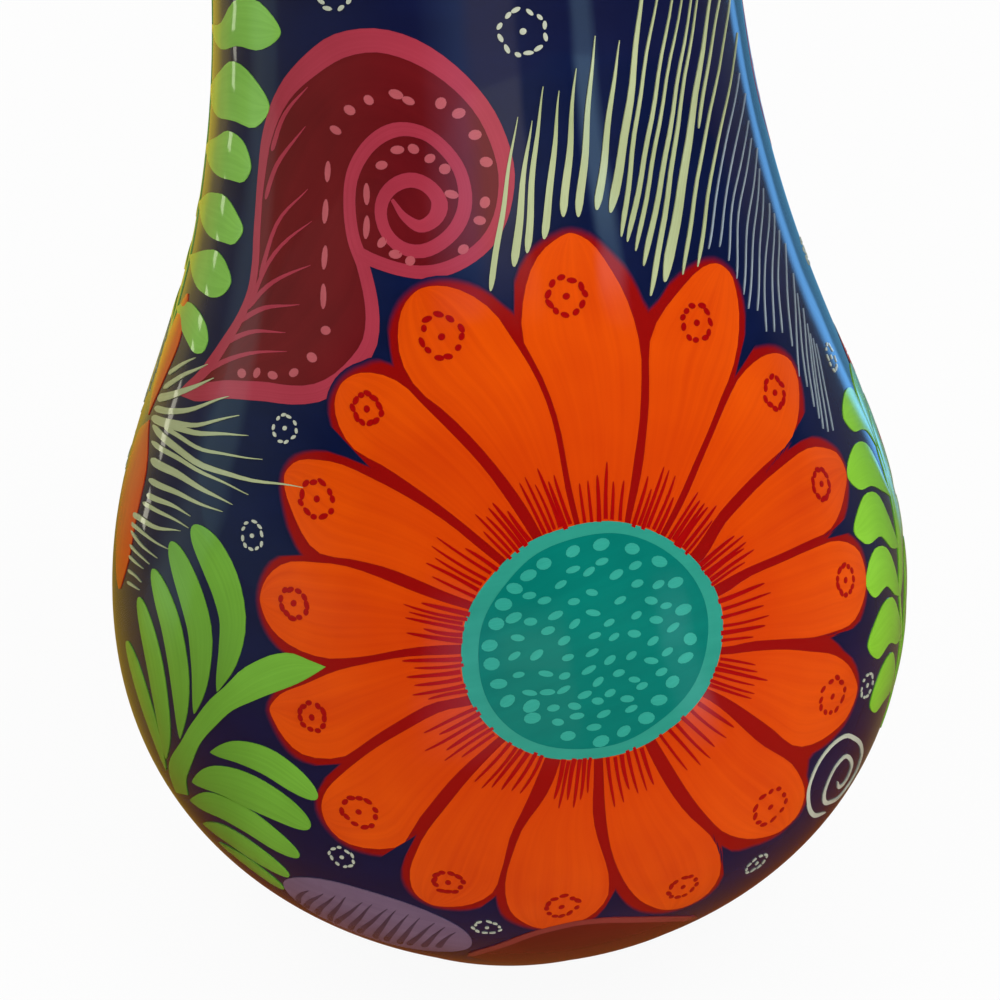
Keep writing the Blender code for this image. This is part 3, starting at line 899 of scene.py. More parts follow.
# %% Petal plan
PETALS = (
    (
        ((-1.1, 19), (-4.9, 45.3), (-6.6, 48.8), (-5.5, 58.4), (-0.3, 65.7), (3.1, 66.9)),
        ((8.4, 20.7), (10.3, 27.2), (12.4, 33.4), (13.4, 40.4), (13.9, 46.5), (9.5, 60.1), (5.1, 66)),
    ),
    (
        ((10.4, 22.3), (14.3, 35.1), (15.1, 42.1), (15.8, 47.3), (20.9, 54.8), (33.1, 60.2)),
        ((15.2, 16.7), (29.4, 36.9), (32.7, 41.7), (36.1, 55.4), (35, 58.8)),
    ),
    (
        ((16.8, 16.9), (31.3, 36.9), (34.2, 40.3), (38.1, 42.6), (47.1, 43.7)),
        ((20.4, 11.9), (25.4, 17), (37.7, 24.6), (47.6, 29.8), (50.4, 35.2), (51.1, 39.9), (49.8, 42.4)),
    ),
    (
        ((21.7, 9.8), (26.6, 15.3), (32.8, 19.4), (55.8, 25.5), (60.5, 23.8), (62.1, 20.2)),
        ((24.3, 5), (34.2, 7.7), (46.3, 9.4), (52.8, 10.5), (59.5, 16)),
    ),
    (
        ((25.3, 3.1), (29.6, 4.8), (47.1, 7.7), (53.8, 8.1), (62.5, 3.6), (63.5, -1.8)),
        ((24.3, -6.8), (29.6, -6.5), (36.5, -7.4), (48.7, -8.9), (58.7, -8.3), (61.8, -5.2)),
    ),
    (
        ((23.6, -8.2), (29.6, -8.3), (44.3, -11.3), (50.9, -13.4), (59, -20), (60.8, -23.5)),
        ((21.8, -14.8), (34.2, -23.6), (42.6, -30.2), (53.3, -30.6), (58.1, -28.6)),
    ),
    (
        ((20.6, -16.1), (32.7, -27), (42.7, -35.2), (47.2, -45.3), (46.2, -49), (43.1, -50.8)),
        ((11.3, -24.1), (21.5, -40.1), (25.7, -45), (37.6, -50.5)),
    ),
    (
        (
            (9, -24.7), (16.7, -38.1), (24.1, -47.1), (26.8, -53.1), (28.3, -59.8), (26.7, -65.1),
            (23.3, -67.3), (18.8, -66.8),
        ),
        ((0.9, -28.9), (0.9, -34.5), (13, -63.1)),
    ),
    (
        ((-1, -29), (-1.4, -34.1), (2.4, -52.7), (2.7, -58.5), (0.6, -63.1), (-3.7, -65.9), (-8.8, -66.8)),
        ((-7.9, -27), (-10, -31.4), (-15.1, -39.7), (-14.8, -62.2)),
    ),
    (
        (
            (-10.8, -26), (-14.3, -34.5), (-16.5, -38.9), (-18.5, -48.1), (-19.8, -52.9), (-27, -58),
            (-32.2, -58.2),
        ),
        ((-19.5, -22.5), (-25.3, -29.3), (-34.1, -42.8), (-36.1, -48.4), (-34.6, -56.3)),
    ),
    (
        (
            (-20.2, -20.8), (-23.4, -23.6), (-32.8, -35.1), (-37.6, -42.4), (-49.8, -42.4),
            (-51.9, -39.5), (-52.5, -36.3),
        ),
        ((-22.5, -12.6), (-26.5, -13.4), (-38.8, -20.6), (-46.4, -26.7)),
    ),
    (
        (
            (-24.2, -11.1), (-28.8, -12.1), (-42.1, -20.6), (-46.3, -23.5), (-55.1, -24), (-60.2, -18.1),
            (-61.2, -15.1),
        ),
        ((-24.5, -3.2), (-47.1, -7.1), (-51.7, -9.1), (-59.6, -13)),
    ),
    (
        ((-24.9, -1.5), (-43, -4.1), (-48, -4.7), (-61.1, 3.4), (-61.7, 6.4)),
        ((-24.2, 5.3), (-47.4, 12.8), (-55.9, 12.7), (-60.6, 8.9)),
    ),
    (
        (
            (-24, 7), (-36.2, 12.4), (-40.8, 13.3), (-48.5, 14.8), (-52.9, 23.1), (-53.7, 26.2),
            (-53.5, 28.8),
        ),
        ((-19, 15.2), (-22.5, 18.8), (-35.4, 27.4), (-44.3, 31), (-51.6, 30.6)),
    ),
    (
        ((-17.5, 16.1), (-24.9, 23.4), (-32.9, 29.5), (-39.3, 33.5), (-41.5, 41.8), (-39.8, 44.5)),
        ((-13.2, 23.3), (-15.5, 27.6), (-25.6, 40.7), (-28.2, 43.6), (-37.8, 45.7)),
    ),
    (
        ((-10, 21.7), (-22.2, 39.6), (-25.3, 42.3), (-28.5, 49.2), (-25.8, 58.2), (-23.7, 59.7)),
        ((-2.4, 22.2), (-2.5, 27.2), (-5.1, 42.9), (-9.5, 51.6), (-11.3, 54.7), (-20.4, 60.1)),
    ),
)
PETAL_RINGS = (
    ((1.3, 56.2), 3.35), ((25.6, 50.6), 3.3), ((43.2, 36.9), 2.9), ((52.2, 19), 2.8), ((55.6, 0.1), 3.1),
    ((51.8, -22.3), 3.9), ((37, -42.4), 4.2), ((19.5, -58.8), 3.4), ((-6.2, -58.9), 3.4),
    ((-28.8, -50.7), 2.95), ((-44.6, -35.4), 3.55), ((-52.1, -16.1), 2.85), ((-54.2, 5.4), 2.9),
    ((-47.2, 24.2), 3.4), ((-35.5, 39.9), 2.8), ((-20.6, 51.5), 3.8),
)
EYE_MIDDLE = np.array((0.0, -3.7))
EYE_LENGTH, EYE_WIDTH, EYE_TILT = 23.9, 21.0, 8.0
HEART_LENGTH, HEART_WIDTH, HEART_TILT = 21.0, 18.8, 16.0
PETAL_ROOT, PETAL_DOME = 18.0, 0.07
HALO, NOTCH_FILL, NOTCH_REACH = 1.45, 0.34, 16
PER_DEGREE = 2
RIM_PLACES = 360 * PER_DEGREE
FLOWERS = (
    ((11.5, 97.8), 1.0, 0.0), ((-140.0, 98.0), 0.58, 9.0), ((128.0, 96.0), 0.88, -5.0),
    ((-88.0, 250.0), 0.36, 14.0), ((50.0, 254.0), 0.36, 0.0), ((126.0, 248.0), 0.33, -9.0),
)


def root_of(point):
    """Return the point under the eye where a petal's side that passes through this point starts."""
    out = np.array(point) - EYE_MIDDLE
    return EYE_MIDDLE + out * PETAL_ROOT / np.linalg.norm(out)


def direction(point):
    """Return the direction in which a flat point lies from the flower's middle."""
    return math.degrees(math.atan2(point[1], point[0]))


petal_sides = [
    two_sides((root_of(left[0]), *left), (*right[::-1], root_of(right[0]))) for left, right in PETALS
]
rim = np.zeros(RIM_PLACES)
for side in [side for pair in petal_sides for side in pair]:
    for point in map(side, np.linspace(0.4, 1.0, 240)):
        place = int(direction(point) % 360.0 * PER_DEGREE)
        rim[place] = max(rim[place], np.linalg.norm(point))
found = np.nonzero(rim)[0]
rim = np.interp(np.arange(RIM_PLACES), found, rim[found], period=RIM_PLACES)
rim_crest = np.max([np.roll(rim, step) for step in range(-NOTCH_REACH, NOTCH_REACH + 1)], axis=0)
ground_rim = rim + NOTCH_FILL * (rim_crest - rim) + HALO
print("petals reach", rim.min(), "to", rim.max(), "mm")

# %% Draw a flower's ground and petals
def flower_ground(bm):
    """Draw the red ground, from under the eye to a little beyond the petals."""
    def outer(share):
        reach = np.interp(RIM_PLACES * share, np.arange(RIM_PLACES) + 0.5, ground_rim, period=RIM_PLACES)
        return polar(reach, 360.0 * share)

    def inner(share):
        return polar(PETAL_ROOT - 2.0, 360.0 * share)

    ribbon(bm, inner, outer, rows=256, columns=16, layer=3, ring=True)


def flower_petals(bm):
    """Draw the orange petals."""
    for index, (left, right) in enumerate(petal_sides):
        ribbon(bm, left, right, rows=26, columns=8, layer=4, order=index, dome=PETAL_DOME)


# %% Draw the hairs and the dotted rings
HAIRS = 6


def eye_edge(degrees):
    """Return the eye's edge in this direction: an oval, a little tilted."""
    turned = math.radians(degrees - EYE_TILT)
    return EYE_LENGTH * EYE_WIDTH / math.hypot(EYE_WIDTH * math.cos(turned), EYE_LENGTH * math.sin(turned))


def flower_marks(bm):
    """Draw the red hairs at the eye and the dotted rings at the tips."""
    for (left, right), (spot, radius) in zip(petal_sides, PETAL_RINGS):
        first = direction(left(0.0) - EYE_MIDDLE)
        span = (first - direction(right(0.0) - EYE_MIDDLE)) % 360.0
        for index in range(HAIRS):
            share = (index + 0.7) / (HAIRS + 0.4)
            toward = first - span * share + chance.uniform(-0.3, 0.3)
            length = chance.uniform(8.0, 12.5) - 5.0 * abs(share - 0.5)
            near = eye_edge(toward)
            start = EYE_MIDDLE + polar(near + chance.uniform(-0.5, 0.4), toward)
            end = EYE_MIDDLE + polar(near + length, toward + (share - 0.5) * span * 0.08)
            width = chance.uniform(0.28, 0.44)
            press = pressed((0.0, 0.75, 0.95, 1.0), (width, width * 0.75, width * 0.45, 0.05))
            stroke(bm, bow(start, end, chance.uniform(-0.2, 0.2)), press, rows=8, layer=7, order=index)
        dotted_ring(bm, spot, radius * 0.95, dashes=11, size=0.85, layer=7)


# %% Draw the eye and its seeds
def flower_eye(bm):
    """Draw the pale oval of the eye."""
    dab(bm, EYE_MIDDLE, EYE_LENGTH, EYE_WIDTH, EYE_TILT, layer=6, cells=24)


def flower_heart(bm):
    """Draw the deep oval inside the eye."""
    dab(bm, EYE_MIDDLE, HEART_LENGTH, HEART_WIDTH, HEART_TILT, layer=7, cells=22)


SEEDS = (
    (2.2, 13.4), (7.6, 12), (-2.8, 12.8), (-8, 11.1), (12.3, 9.4), (-3.1, 9.6), (-0.4, 9),
    (2, 10.5), (4.3, 8), (7.8, 9.1), (-11, 9.5), (-5.6, 7.2), (7.9, 6), (11.7, 5.4), (14.9, 5.5),
    (-13.7, 7.6), (-11.3, 6.1), (-0.3, 5.3), (-3.7, 4), (-8.8, 4.9), (-15.8, 5), (4.6, 3.5),
    (10.2, 2.8), (12.9, 1.6), (16.1, 0.6), (-7.1, 2.1), (-0.5, 1.7), (-14.2, 2.5), (-17.2, 1.6),
    (-11.4, 1.6), (-3.9, 0.2), (2.2, -0.3), (7.3, 0.6), (10.9, -0.6), (14, -2.3), (-8.5, -0.3),
    (-0.5, -2.3), (2.9, -2.9), (6.6, -2.6), (-13.7, -1.1), (-5.8, -2.4), (10, -4.2), (17.2, -4.7),
    (-18.7, -2.1), (-1, -5.2), (-14.5, -4.3), (-10.6, -4.4), (-5.2, -5.4), (2.1, -6.9), (5.9, -6.5),
    (9.5, -7.7), (12.6, -6.4), (16.1, -7.9), (-18.6, -5.3), (-9.2, -7.9), (-14, -7.7), (-1.6, -8.1),
    (-5.9, -8.6), (3.7, -9.4), (11.4, -9.9), (6.5, -10.9), (0, -10.4), (13.5, -11.9), (-17.5, -8.9),
    (7.9, -12.2), (-12.2, -11.1), (-9.1, -11.3), (-6.2, -11.1), (-2.5, -12.4), (2.1, -12.7),
    (5.2, -14.2), (-0.2, -13.8), (11.1, -15.1), (-16, -12.1), (-11.9, -13.5), (-8.1, -14.3),
    (-4.4, -14.3), (5.9, -16.1), (0.8, -16.3), (-11.7, -15.7), (-4, -16.2), (8.7, -18.2),
    (-7.3, -17), (-1, -18.6), (4.4, -20), (-5.5, -19.8), (0.3, -21.4),
)
FAT_SEEDS_FROM = 15.4


def flower_seeds(bm):
    """Draw the pale ovals in the eye, fatter at its rim."""
    for index, spot in enumerate(SEEDS):
        length, width = chance.uniform(1.05, 1.4), chance.uniform(0.52, 0.74)
        if np.linalg.norm(spot - EYE_MIDDLE) > FAT_SEEDS_FROM:
            length, width = chance.uniform(1.3, 1.65), chance.uniform(0.85, 1.15)
        dab(bm, spot, length, width, chance.uniform(-15, 35), layer=8, order=index)


# %% Paint every flower
def placed(draw, size, turned=0.0):
    """Return the same drawing at another size, turned in its plane."""
    def moved(bm):
        draw(bm)
        turning = Matrix.Rotation(math.radians(turned), 3, "Z")
        bmesh.ops.rotate(bm, cent=(0.0, 0.0, 0.0), matrix=turning, verts=bm.verts[:])
        bmesh.ops.scale(bm, vec=(size, size, 1.0), verts=bm.verts[:])

    return moved


def for_flowers(draw):
    """Return a drawing for every flower on the jug."""
    return [(place, placed(draw, size, turned)) for place, size, turned in FLOWERS]


RED_PAINT = brushed_paint("deep_red_paint", srgb(138, 0, 2), srgb(166, 4, 4))
ORANGE_PAINT = brushed_paint(
    "orange_paint", srgb(194, 52, 0), srgb(226, 84, 0), srgb(190, 50, 0), streak=0.8,
)
TEAL_PALE_PAINT = brushed_paint("pale_teal_paint", srgb(32, 128, 112), srgb(48, 149, 130), lacquer=0.6)
TEAL_DEEP_PAINT = brushed_paint("deep_teal_paint", srgb(0, 99, 90), srgb(2, 117, 105), lacquer=0.35)
SEED_PAINT = brushed_paint("seed_paint", srgb(34, 138, 122), srgb(54, 160, 143), lacquer=0.35)

paint_piece("flower_grounds", halo_paint(srgb(138, 5, 3)), for_flowers(flower_ground))
paint_piece("flower_petals", ORANGE_PAINT, for_flowers(flower_petals))
paint_piece("flower_marks", RED_PAINT, for_flowers(flower_marks))
paint_piece("flower_eyes", TEAL_PALE_PAINT, for_flowers(flower_eye))
paint_piece("flower_hearts", TEAL_DEEP_PAINT, for_flowers(flower_heart))
paint_piece("flower_seeds", SEED_PAINT, for_flowers(flower_seeds))

# %% [markdown]
# ## The scroll
#
# A burgundy scroll curls beside the flower. Its field lies between an outer and a lower edge. A
# magenta line runs round it and winds in to the middle, dots follow the curl, and a few hairs sweep
# in from the left edge.

# %% Plan of the scroll
SCROLL = (-24.0, 162.0)
scroll_outer = through(
    (-46, -38), (-37.1, -32.1), (-31, -25.6), (-26.8, -19.6), (-24.7, -15.1), (-24.1, -10.4),
    (-24.4, -4.5), (-24.1, 0.6), (-23.2, 6), (-22, 11.5), (-20.1, 15.3), (-15.6, 20.9),
    (-9.2, 26.1), (-2.5, 29.7), (4.7, 31.2), (8.1, 30.7), (12, 29.3), (15.6, 27.2), (18.7, 24.6),
    (21.5, 21.1), (23.3, 17.3), (24.9, 10.3), (24.4, 6.1), (23, 2), (20.9, -1.6), (17.9, -4.5),
    (13.9, -6.5), (10.4, -7.3), (6.9, -7.4), (3.9, -7.0), (1.4, -6.4), (-0.8, -5.6),
)
scroll_lower = through(
    (-46, -38), (-34.4, -35.2), (-26.9, -33.3), (-19.6, -32.3), (-13, -32), (-7.2, -30.6),
    (-2.8, -28.1), (0.3, -24.7), (2.2, -21), (2.6, -16.9), (2.1, -13.2), (1.1, -9.9), (-0.1, -6.9),
)
scroll_curl = through(
    (-0.1, -6.9), (-1.9, -3.3), (-2.9, 1.4), (-2.6, 6.1), (-1.1, 10.1), (1.2, 13.3), (4.3, 15.5),
    (7.8, 16.6), (11.7, 16.2), (14.6, 14.2), (16.7, 11.5), (17.7, 7.9), (17.5, 4), (16, 0.3),
    (13.3, -2.4), (9.9, -3.8), (6.6, -3.4), (4, -1.2), (3.1, 2.2), (4.1, 5.3), (6.2, 7.3),
    (8.8, 8.1), (11.7, 7.2), (13.4, 4.9), (12.9, 2.3), (10.2, 0.5), (7.7, 1.6), (5.2, 4.5),
)
SCROLL_HAIRS = (
    ((-20.5, 10), (-17.7, 15.1), (-10.6, 22)), ((-22.2, 1.3), (-19, 7.9), (-11.5, 15.1)),
    ((-22.6, -12.5), (-19.6, -3.6), (-11.7, 4.5)), ((-24.4, -17.2), (-19.9, -8.5), (-10.6, -1)),
    ((-25.7, -18.8), (-19.1, -12.8), (-10.5, -8.8)), ((-28, -21.4), (-19.9, -17.4), (-12.3, -15.9)),
    ((-32.9, -26.6), (-24.2, -22.6), (-15, -21.1)), ((-37.4, -32.4), (-24.9, -26.6), (-14.5, -24.4)),
)
SCROLL_BEADS = (
    (-5.2, 15.2), (-2.2, 18.9), (1.7, 20.8), (6.7, 22.4), (8.8, 21.6), (14.2, 21.8), (17.1, 20.4),
    (19.7, 17.1), (21.5, 12.8), (21.1, 6.1), (20.2, 2.9), (17.8, -2.5), (-6.3, -19.8),
    (-8.8, -24.7), (-12.6, -27.9), (-17.3, -29.2), (-21.2, -29.3), (-25.2, -30), (3.3, 10.1),
    (6.2, 12.9), (9.1, 13.4), (11.9, 12.2), (14.4, 10.8), (15.4, 6.6), (3.4, -3.2), (5.9, -4.9),
    (8.6, -5.6),
)
SCROLL_DASHES = ((-7.2, 7.8), (-7.8, 1), (-7.5, -7), (-7.4, -13.9), (0.5, 4.8), (0.4, -1))

# %% Draw the scroll
FIELD_TURN = 0.52


def scroll_field(bm):
    """Draw the burgundy field: a fan from the lower edge, which stops at the curl, to the outer edge."""
    def lower(share):
        return scroll_lower(min(share / FIELD_TURN, 1.0))

    ribbon(bm, scroll_outer, lower, rows=90, columns=22, layer=1)
    bmesh.ops.remove_doubles(bm, verts=bm.verts[:], dist=0.02)


def scroll_lines(bm):
    """Draw the line round the scroll, its curl and its hairs."""
    round_line = pressed(
        (0.0, 0.08, 0.17, 0.3, 0.43, 0.52, 0.62, 0.73, 0.83, 1.0),
        (0.5, 1.3, 1.0, 0.95, 1.6, 2.1, 1.95, 1.5, 1.15, 1.15),
    )
    low_line = pressed((0.0, 0.1, 0.5, 1.0), (0.5, 1.6, 1.7, 1.15))
    curl_line = pressed((0.0, 0.75, 0.88, 0.94, 1.0), (1.2, 1.15, 1.4, 1.0, 0.3))
    stroke(bm, scroll_outer, round_line, rows=110, layer=2, order=0, columns=3)
    stroke(bm, scroll_lower, low_line, rows=40, layer=2, order=1, columns=3)
    stroke(bm, scroll_curl, curl_line, rows=120, layer=2, order=2, columns=3)
    for index, hair in enumerate(SCROLL_HAIRS):
        stroke(bm, through(*hair), flick(0.5), rows=14, layer=2, order=3 + index)


def scroll_beads(bm):
    """Draw the pale dots and dashes that follow the curl."""
    for index, spot in enumerate(SCROLL_BEADS):
        length, width = chance.uniform(0.95, 1.3), chance.uniform(0.7, 0.9)
        dab(bm, spot, length, width, chance.uniform(-20, 60), layer=2, order=index)
    for index, spot in enumerate(SCROLL_DASHES):
        dab(bm, spot, chance.uniform(1.8, 2.3), 0.62, chance.uniform(80, 96), layer=2, order=index)


# %% Paint the scroll and its twin
BURGUNDY_PAINT = brushed_paint("burgundy_paint", srgb(86, 8, 15), srgb(112, 19, 25))
MAGENTA_PAINT = brushed_paint("magenta_paint", srgb(150, 41, 58), srgb(174, 58, 76))
BEAD_PAINT = brushed_paint("bead_paint", srgb(164, 72, 80), srgb(186, 94, 100))
SCROLLS = ((SCROLL, False), ((112.0, 166.0), True))


def for_scrolls(draw):
    """Return the drawings for the scroll and its mirrored twin on the far side."""
    return [(place, mirrored(draw) if swap else draw) for place, swap in SCROLLS]


paint_piece("scroll_fields", BURGUNDY_PAINT, for_scrolls(scroll_field))
paint_piece("scroll_lines", MAGENTA_PAINT, for_scrolls(scroll_lines))
paint_piece("scroll_beads", BEAD_PAINT, for_scrolls(scroll_beads))

# %% [markdown]
# ## Leaves
#
# Green leaves are single loaded strokes: the brush lands with its point and is pressed fat towards
# the end. A spray of long leaves fills the left of the belly, and garlands of short fat drops climb
# on both sides. Beside the handle there is room for one side of a garland only.

# %% Plan of the leaves
SPRAY = (-40.0, 70.0)
GARLAND_LEFT, GARLAND_RIGHT = (-60.0, 165.0), (75.0, 90.0)
LEAF_DOME = 0.10
SPRAY_LEAVES = (
    (((-2.9, 6.3), (-0.3, 15.4), (0, 21), (-2.3, 25.9), (-7.2, 30.6), (-14.5, 34.5)), 3.7),
    (((-9.5, -0.4), (-7.7, 10), (-8.5, 16.6), (-11.8, 21.9), (-15.9, 25.8), (-21, 29.3)), 3.6),
    (((-14.9, -8.2), (-13.8, 0.8), (-15, 8.8), (-17.7, 14.7), (-21.6, 18.8), (-26.2, 22.3)), 3.6),
    (((-22.7, -17.1), (-21.1, -10.2), (-21.4, -2.4), (-23.6, 5.1), (-27.4, 10.7), (-31.5, 14.5)), 3.6),
    (((-24.9, -21.2), (-25.5, -13.5), (-28.6, -6.8), (-32.9, -1.6), (-38.1, 1.9)), 3.6),
    (((-5.2, -7.1), (2.7, -4.4), (9.4, -4), (14.7, -5.7), (19.9, -8.3)), 3.1),
    (((-13, -17.6), (-2.8, -12.9), (5.2, -12.5), (11.5, -13.4), (17.7, -15.5)), 4.2),
    (((-17, -24.5), (-4.6, -20.2), (2.8, -20.5), (8.4, -22.6), (13.4, -24.8)), 3.7),
    (((-15.8, -30.5), (-5.8, -28.6), (1.5, -30.1), (8.3, -32.7)), 3.6),
    (((-13, -34.6), (-4.1, -35.9), (3, -40.2)), 2.8),
)
LEFT_LEAVES = (
    (
        (-21, 21.5), (-8.1, 24), (1.6, 30), (8.5, 31), (13.9, 27.2),
        (8.5, 22.8), (0.1, 21.4), (-8.5, 19.3),
    ),
    (
        (-23, 9.5), (-9.5, 14.8), (-2.4, 18.4), (5.2, 17.4), (10.6, 13.4),
        (6.8, 8.7), (0.1, 8), (-10, 6.7),
    ),
    (
        (-23, -1.5), (-9.6, 3.2), (-3, 5.5), (3.5, 4.7), (5.9, 1.3),
        (3.8, -2), (-0.9, -3), (-9.1, -3.6),
    ),
    (
        (-22, -12), (-8.7, -7.2), (-3, -6.3), (2.2, -8), (5.6, -10.6),
        (3.7, -13.6), (-0.8, -14.5), (-6.7, -15.3),
    ),
    (
        (-21.5, -22.5), (-7.5, -18), (-2.7, -16.8), (1.2, -17.7), (4.3, -20.6),
        (3.1, -22.9), (-0.5, -25.2), (-6.7, -25.7),
    ),
    (
        (-23, -33), (-9.2, -29), (-3.8, -29.9), (-1, -31.4), (0.2, -33.3),
        (-0.5, -35.3), (-3.5, -36.6), (-8.3, -35.9),
    ),
)
RIGHT_LEAVES = (
    (
        (6, 15), (6.6, 22.5), (4.8, 28), (-1.8, 29.9), (-7.5, 27.3),
        (-5.8, 24), (-0.5, 21.6), (3.1, 19.5),
    ),
    (
        (4, 5), (2, 11), (-1.2, 18.8), (-8, 21.9), (-15.9, 18.8),
        (-13.9, 15.6), (-7, 12.6), (-1.1, 8.6),
    ),
    (
        (0, -4), (-2.4, 2.4), (-5.8, 10.3), (-13, 13.3), (-21, 9.7),
        (-18.3, 6.2), (-10.5, 3.8), (-5.8, -1.1),
    ),
    (
        (-4, -12), (-5.6, -5.5), (-9, 0.6), (-15, 3.4), (-21.9, -0.8),
        (-19.9, -4.1), (-12.5, -5.7), (-7.7, -10),
    ),
    (
        (-2, -22), (-6, -14.5), (-10.5, -9), (-17, -7.9), (-24, -12.2),
        (-19.8, -17), (-13, -17.3), (-7, -20.8),
    ),
    (
        (-3, -33), (-6.5, -26), (-10.8, -20.3), (-17, -20.3), (-22, -26),
        (-18.1, -29.9), (-13, -30.2), (-8, -31),
    ),
)
stem_left = through(
    (-24.1, -26.7), (-22.9, -20), (-19, -14), (-14.2, -8.2), (-10.2, -2.7), (-5.8, 3.1), (-1, 7.9),
    (2.9, 12.5), (7, 15.5), (10.8, 17.9), (13.8, 19), (17.5, 18.7), (21, 18.3),
)
stem_right = through(
    (-17, -23.1), (-16.1, -19.9), (-12.2, -13.1), (-7.7, -5.8), (-3.3, -0.6), (1.3, 4.1),
    (6.7, 7.9), (12.2, 11.5), (16.3, 14.3), (18.8, 16.3), (21, 18.3),
)

# %% Draw the spray
def spray(bm):
    """Draw the long-leaved spray and its stem."""
    ribbon(bm, stem_left, stem_right, rows=40, columns=4, layer=5)
    for index, (points, width) in enumerate(SPRAY_LEAVES):
        path = through(*points)
        stroke(bm, path, drop(width), rows=26, layer=5, order=1 + index, columns=6, dome=LEAF_DOME)


# %% Draw the garlands
def blade(bm, loop, order):
    """Fill a fat leaf given as a loop: its root, three points up, its tip and three points back."""
    left, right = two_sides(loop[:5], (*loop[5:], loop[0]))
    ribbon(bm, left, right, rows=22, columns=8, layer=5, order=order, dome=LEAF_DOME)


def garland(bm, loops, across, down, twins=True):
    """Draw fat leaves on one side of a stem and, if wanted, their twins on the other, a little lower."""
    roots = [loop[0] for loop in loops]
    stem = through(*roots, (roots[-1][0] - 1.0, roots[-1][1] - 9.0))
    stroke(bm, stem, even(0.7), rows=40, layer=5)
    for index, loop in enumerate(loops):
        blade(bm, loop, 1 + index)
        if twins:
            blade(bm, [(2 * loop[0][0] + across - x, y - down) for x, y in loop], 20 + index)


TOP_ACROSS, TOP_UP = 3.0, 14.5
TOP_LEAVES = [
    tuple((x + TOP_ACROSS * step, y + TOP_UP * step) for x, y in LEFT_LEAVES[0]) for step in (2, 1)
]


def garland_left(bm):
    """Draw the garland on the left, with two more leaves above the picture's edge."""
    garland(bm, (*TOP_LEAVES, *LEFT_LEAVES), -1.0, 3.0)


def garland_half(bm):
    """Draw one side of a shorter garland, for the places beside the handle."""
    garland(bm, (*TOP_LEAVES, *LEFT_LEAVES[:-1]), 0.0, 0.0, False)


def garland_right(bm):
    """Draw the garland on the right, whose leaves curl over from the stem."""
    garland(bm, RIGHT_LEAVES, 1.0, 0.0)


# %% Paint the leaves
HALF_GARLANDS = ((-152.0, 165.0), (150.0, 166.0))
GREEN_PAINT = brushed_paint("leaf_paint", srgb(97, 152, 43), srgb(121, 183, 61), srgb(92, 142, 42))
YOUNG_PAINT = brushed_paint("young_leaf_paint", srgb(118, 184, 38), srgb(142, 208, 58), srgb(104, 168, 38))
GARLAND_PAINT = brushed_paint("garland_paint", srgb(119, 178, 69), srgb(145, 206, 92), srgb(110, 166, 60))
garlands = [(GARLAND_LEFT, garland_left)]
garlands += [(place, mirrored(garland_half)) for place in HALF_GARLANDS]
paint_piece("leaves", GREEN_PAINT, [(SPRAY, spray)])
paint_piece("garland_leaves", GARLAND_PAINT, garlands)
paint_piece("young_leaves", YOUNG_PAINT, [(GARLAND_RIGHT, garland_right)])

# %% [markdown]
# ## Cream rays, white marks and the foot
#
# Fine cream strokes grow out of the flowers' edges like rays, thick where the brush landed and thin
# where it left. On the left they fan out from a bud, whose two long orange petals part at the fan's
# root. Small white rings of dashes fill the empty navy, and striped purple and dark-red leaves
# close the foot.

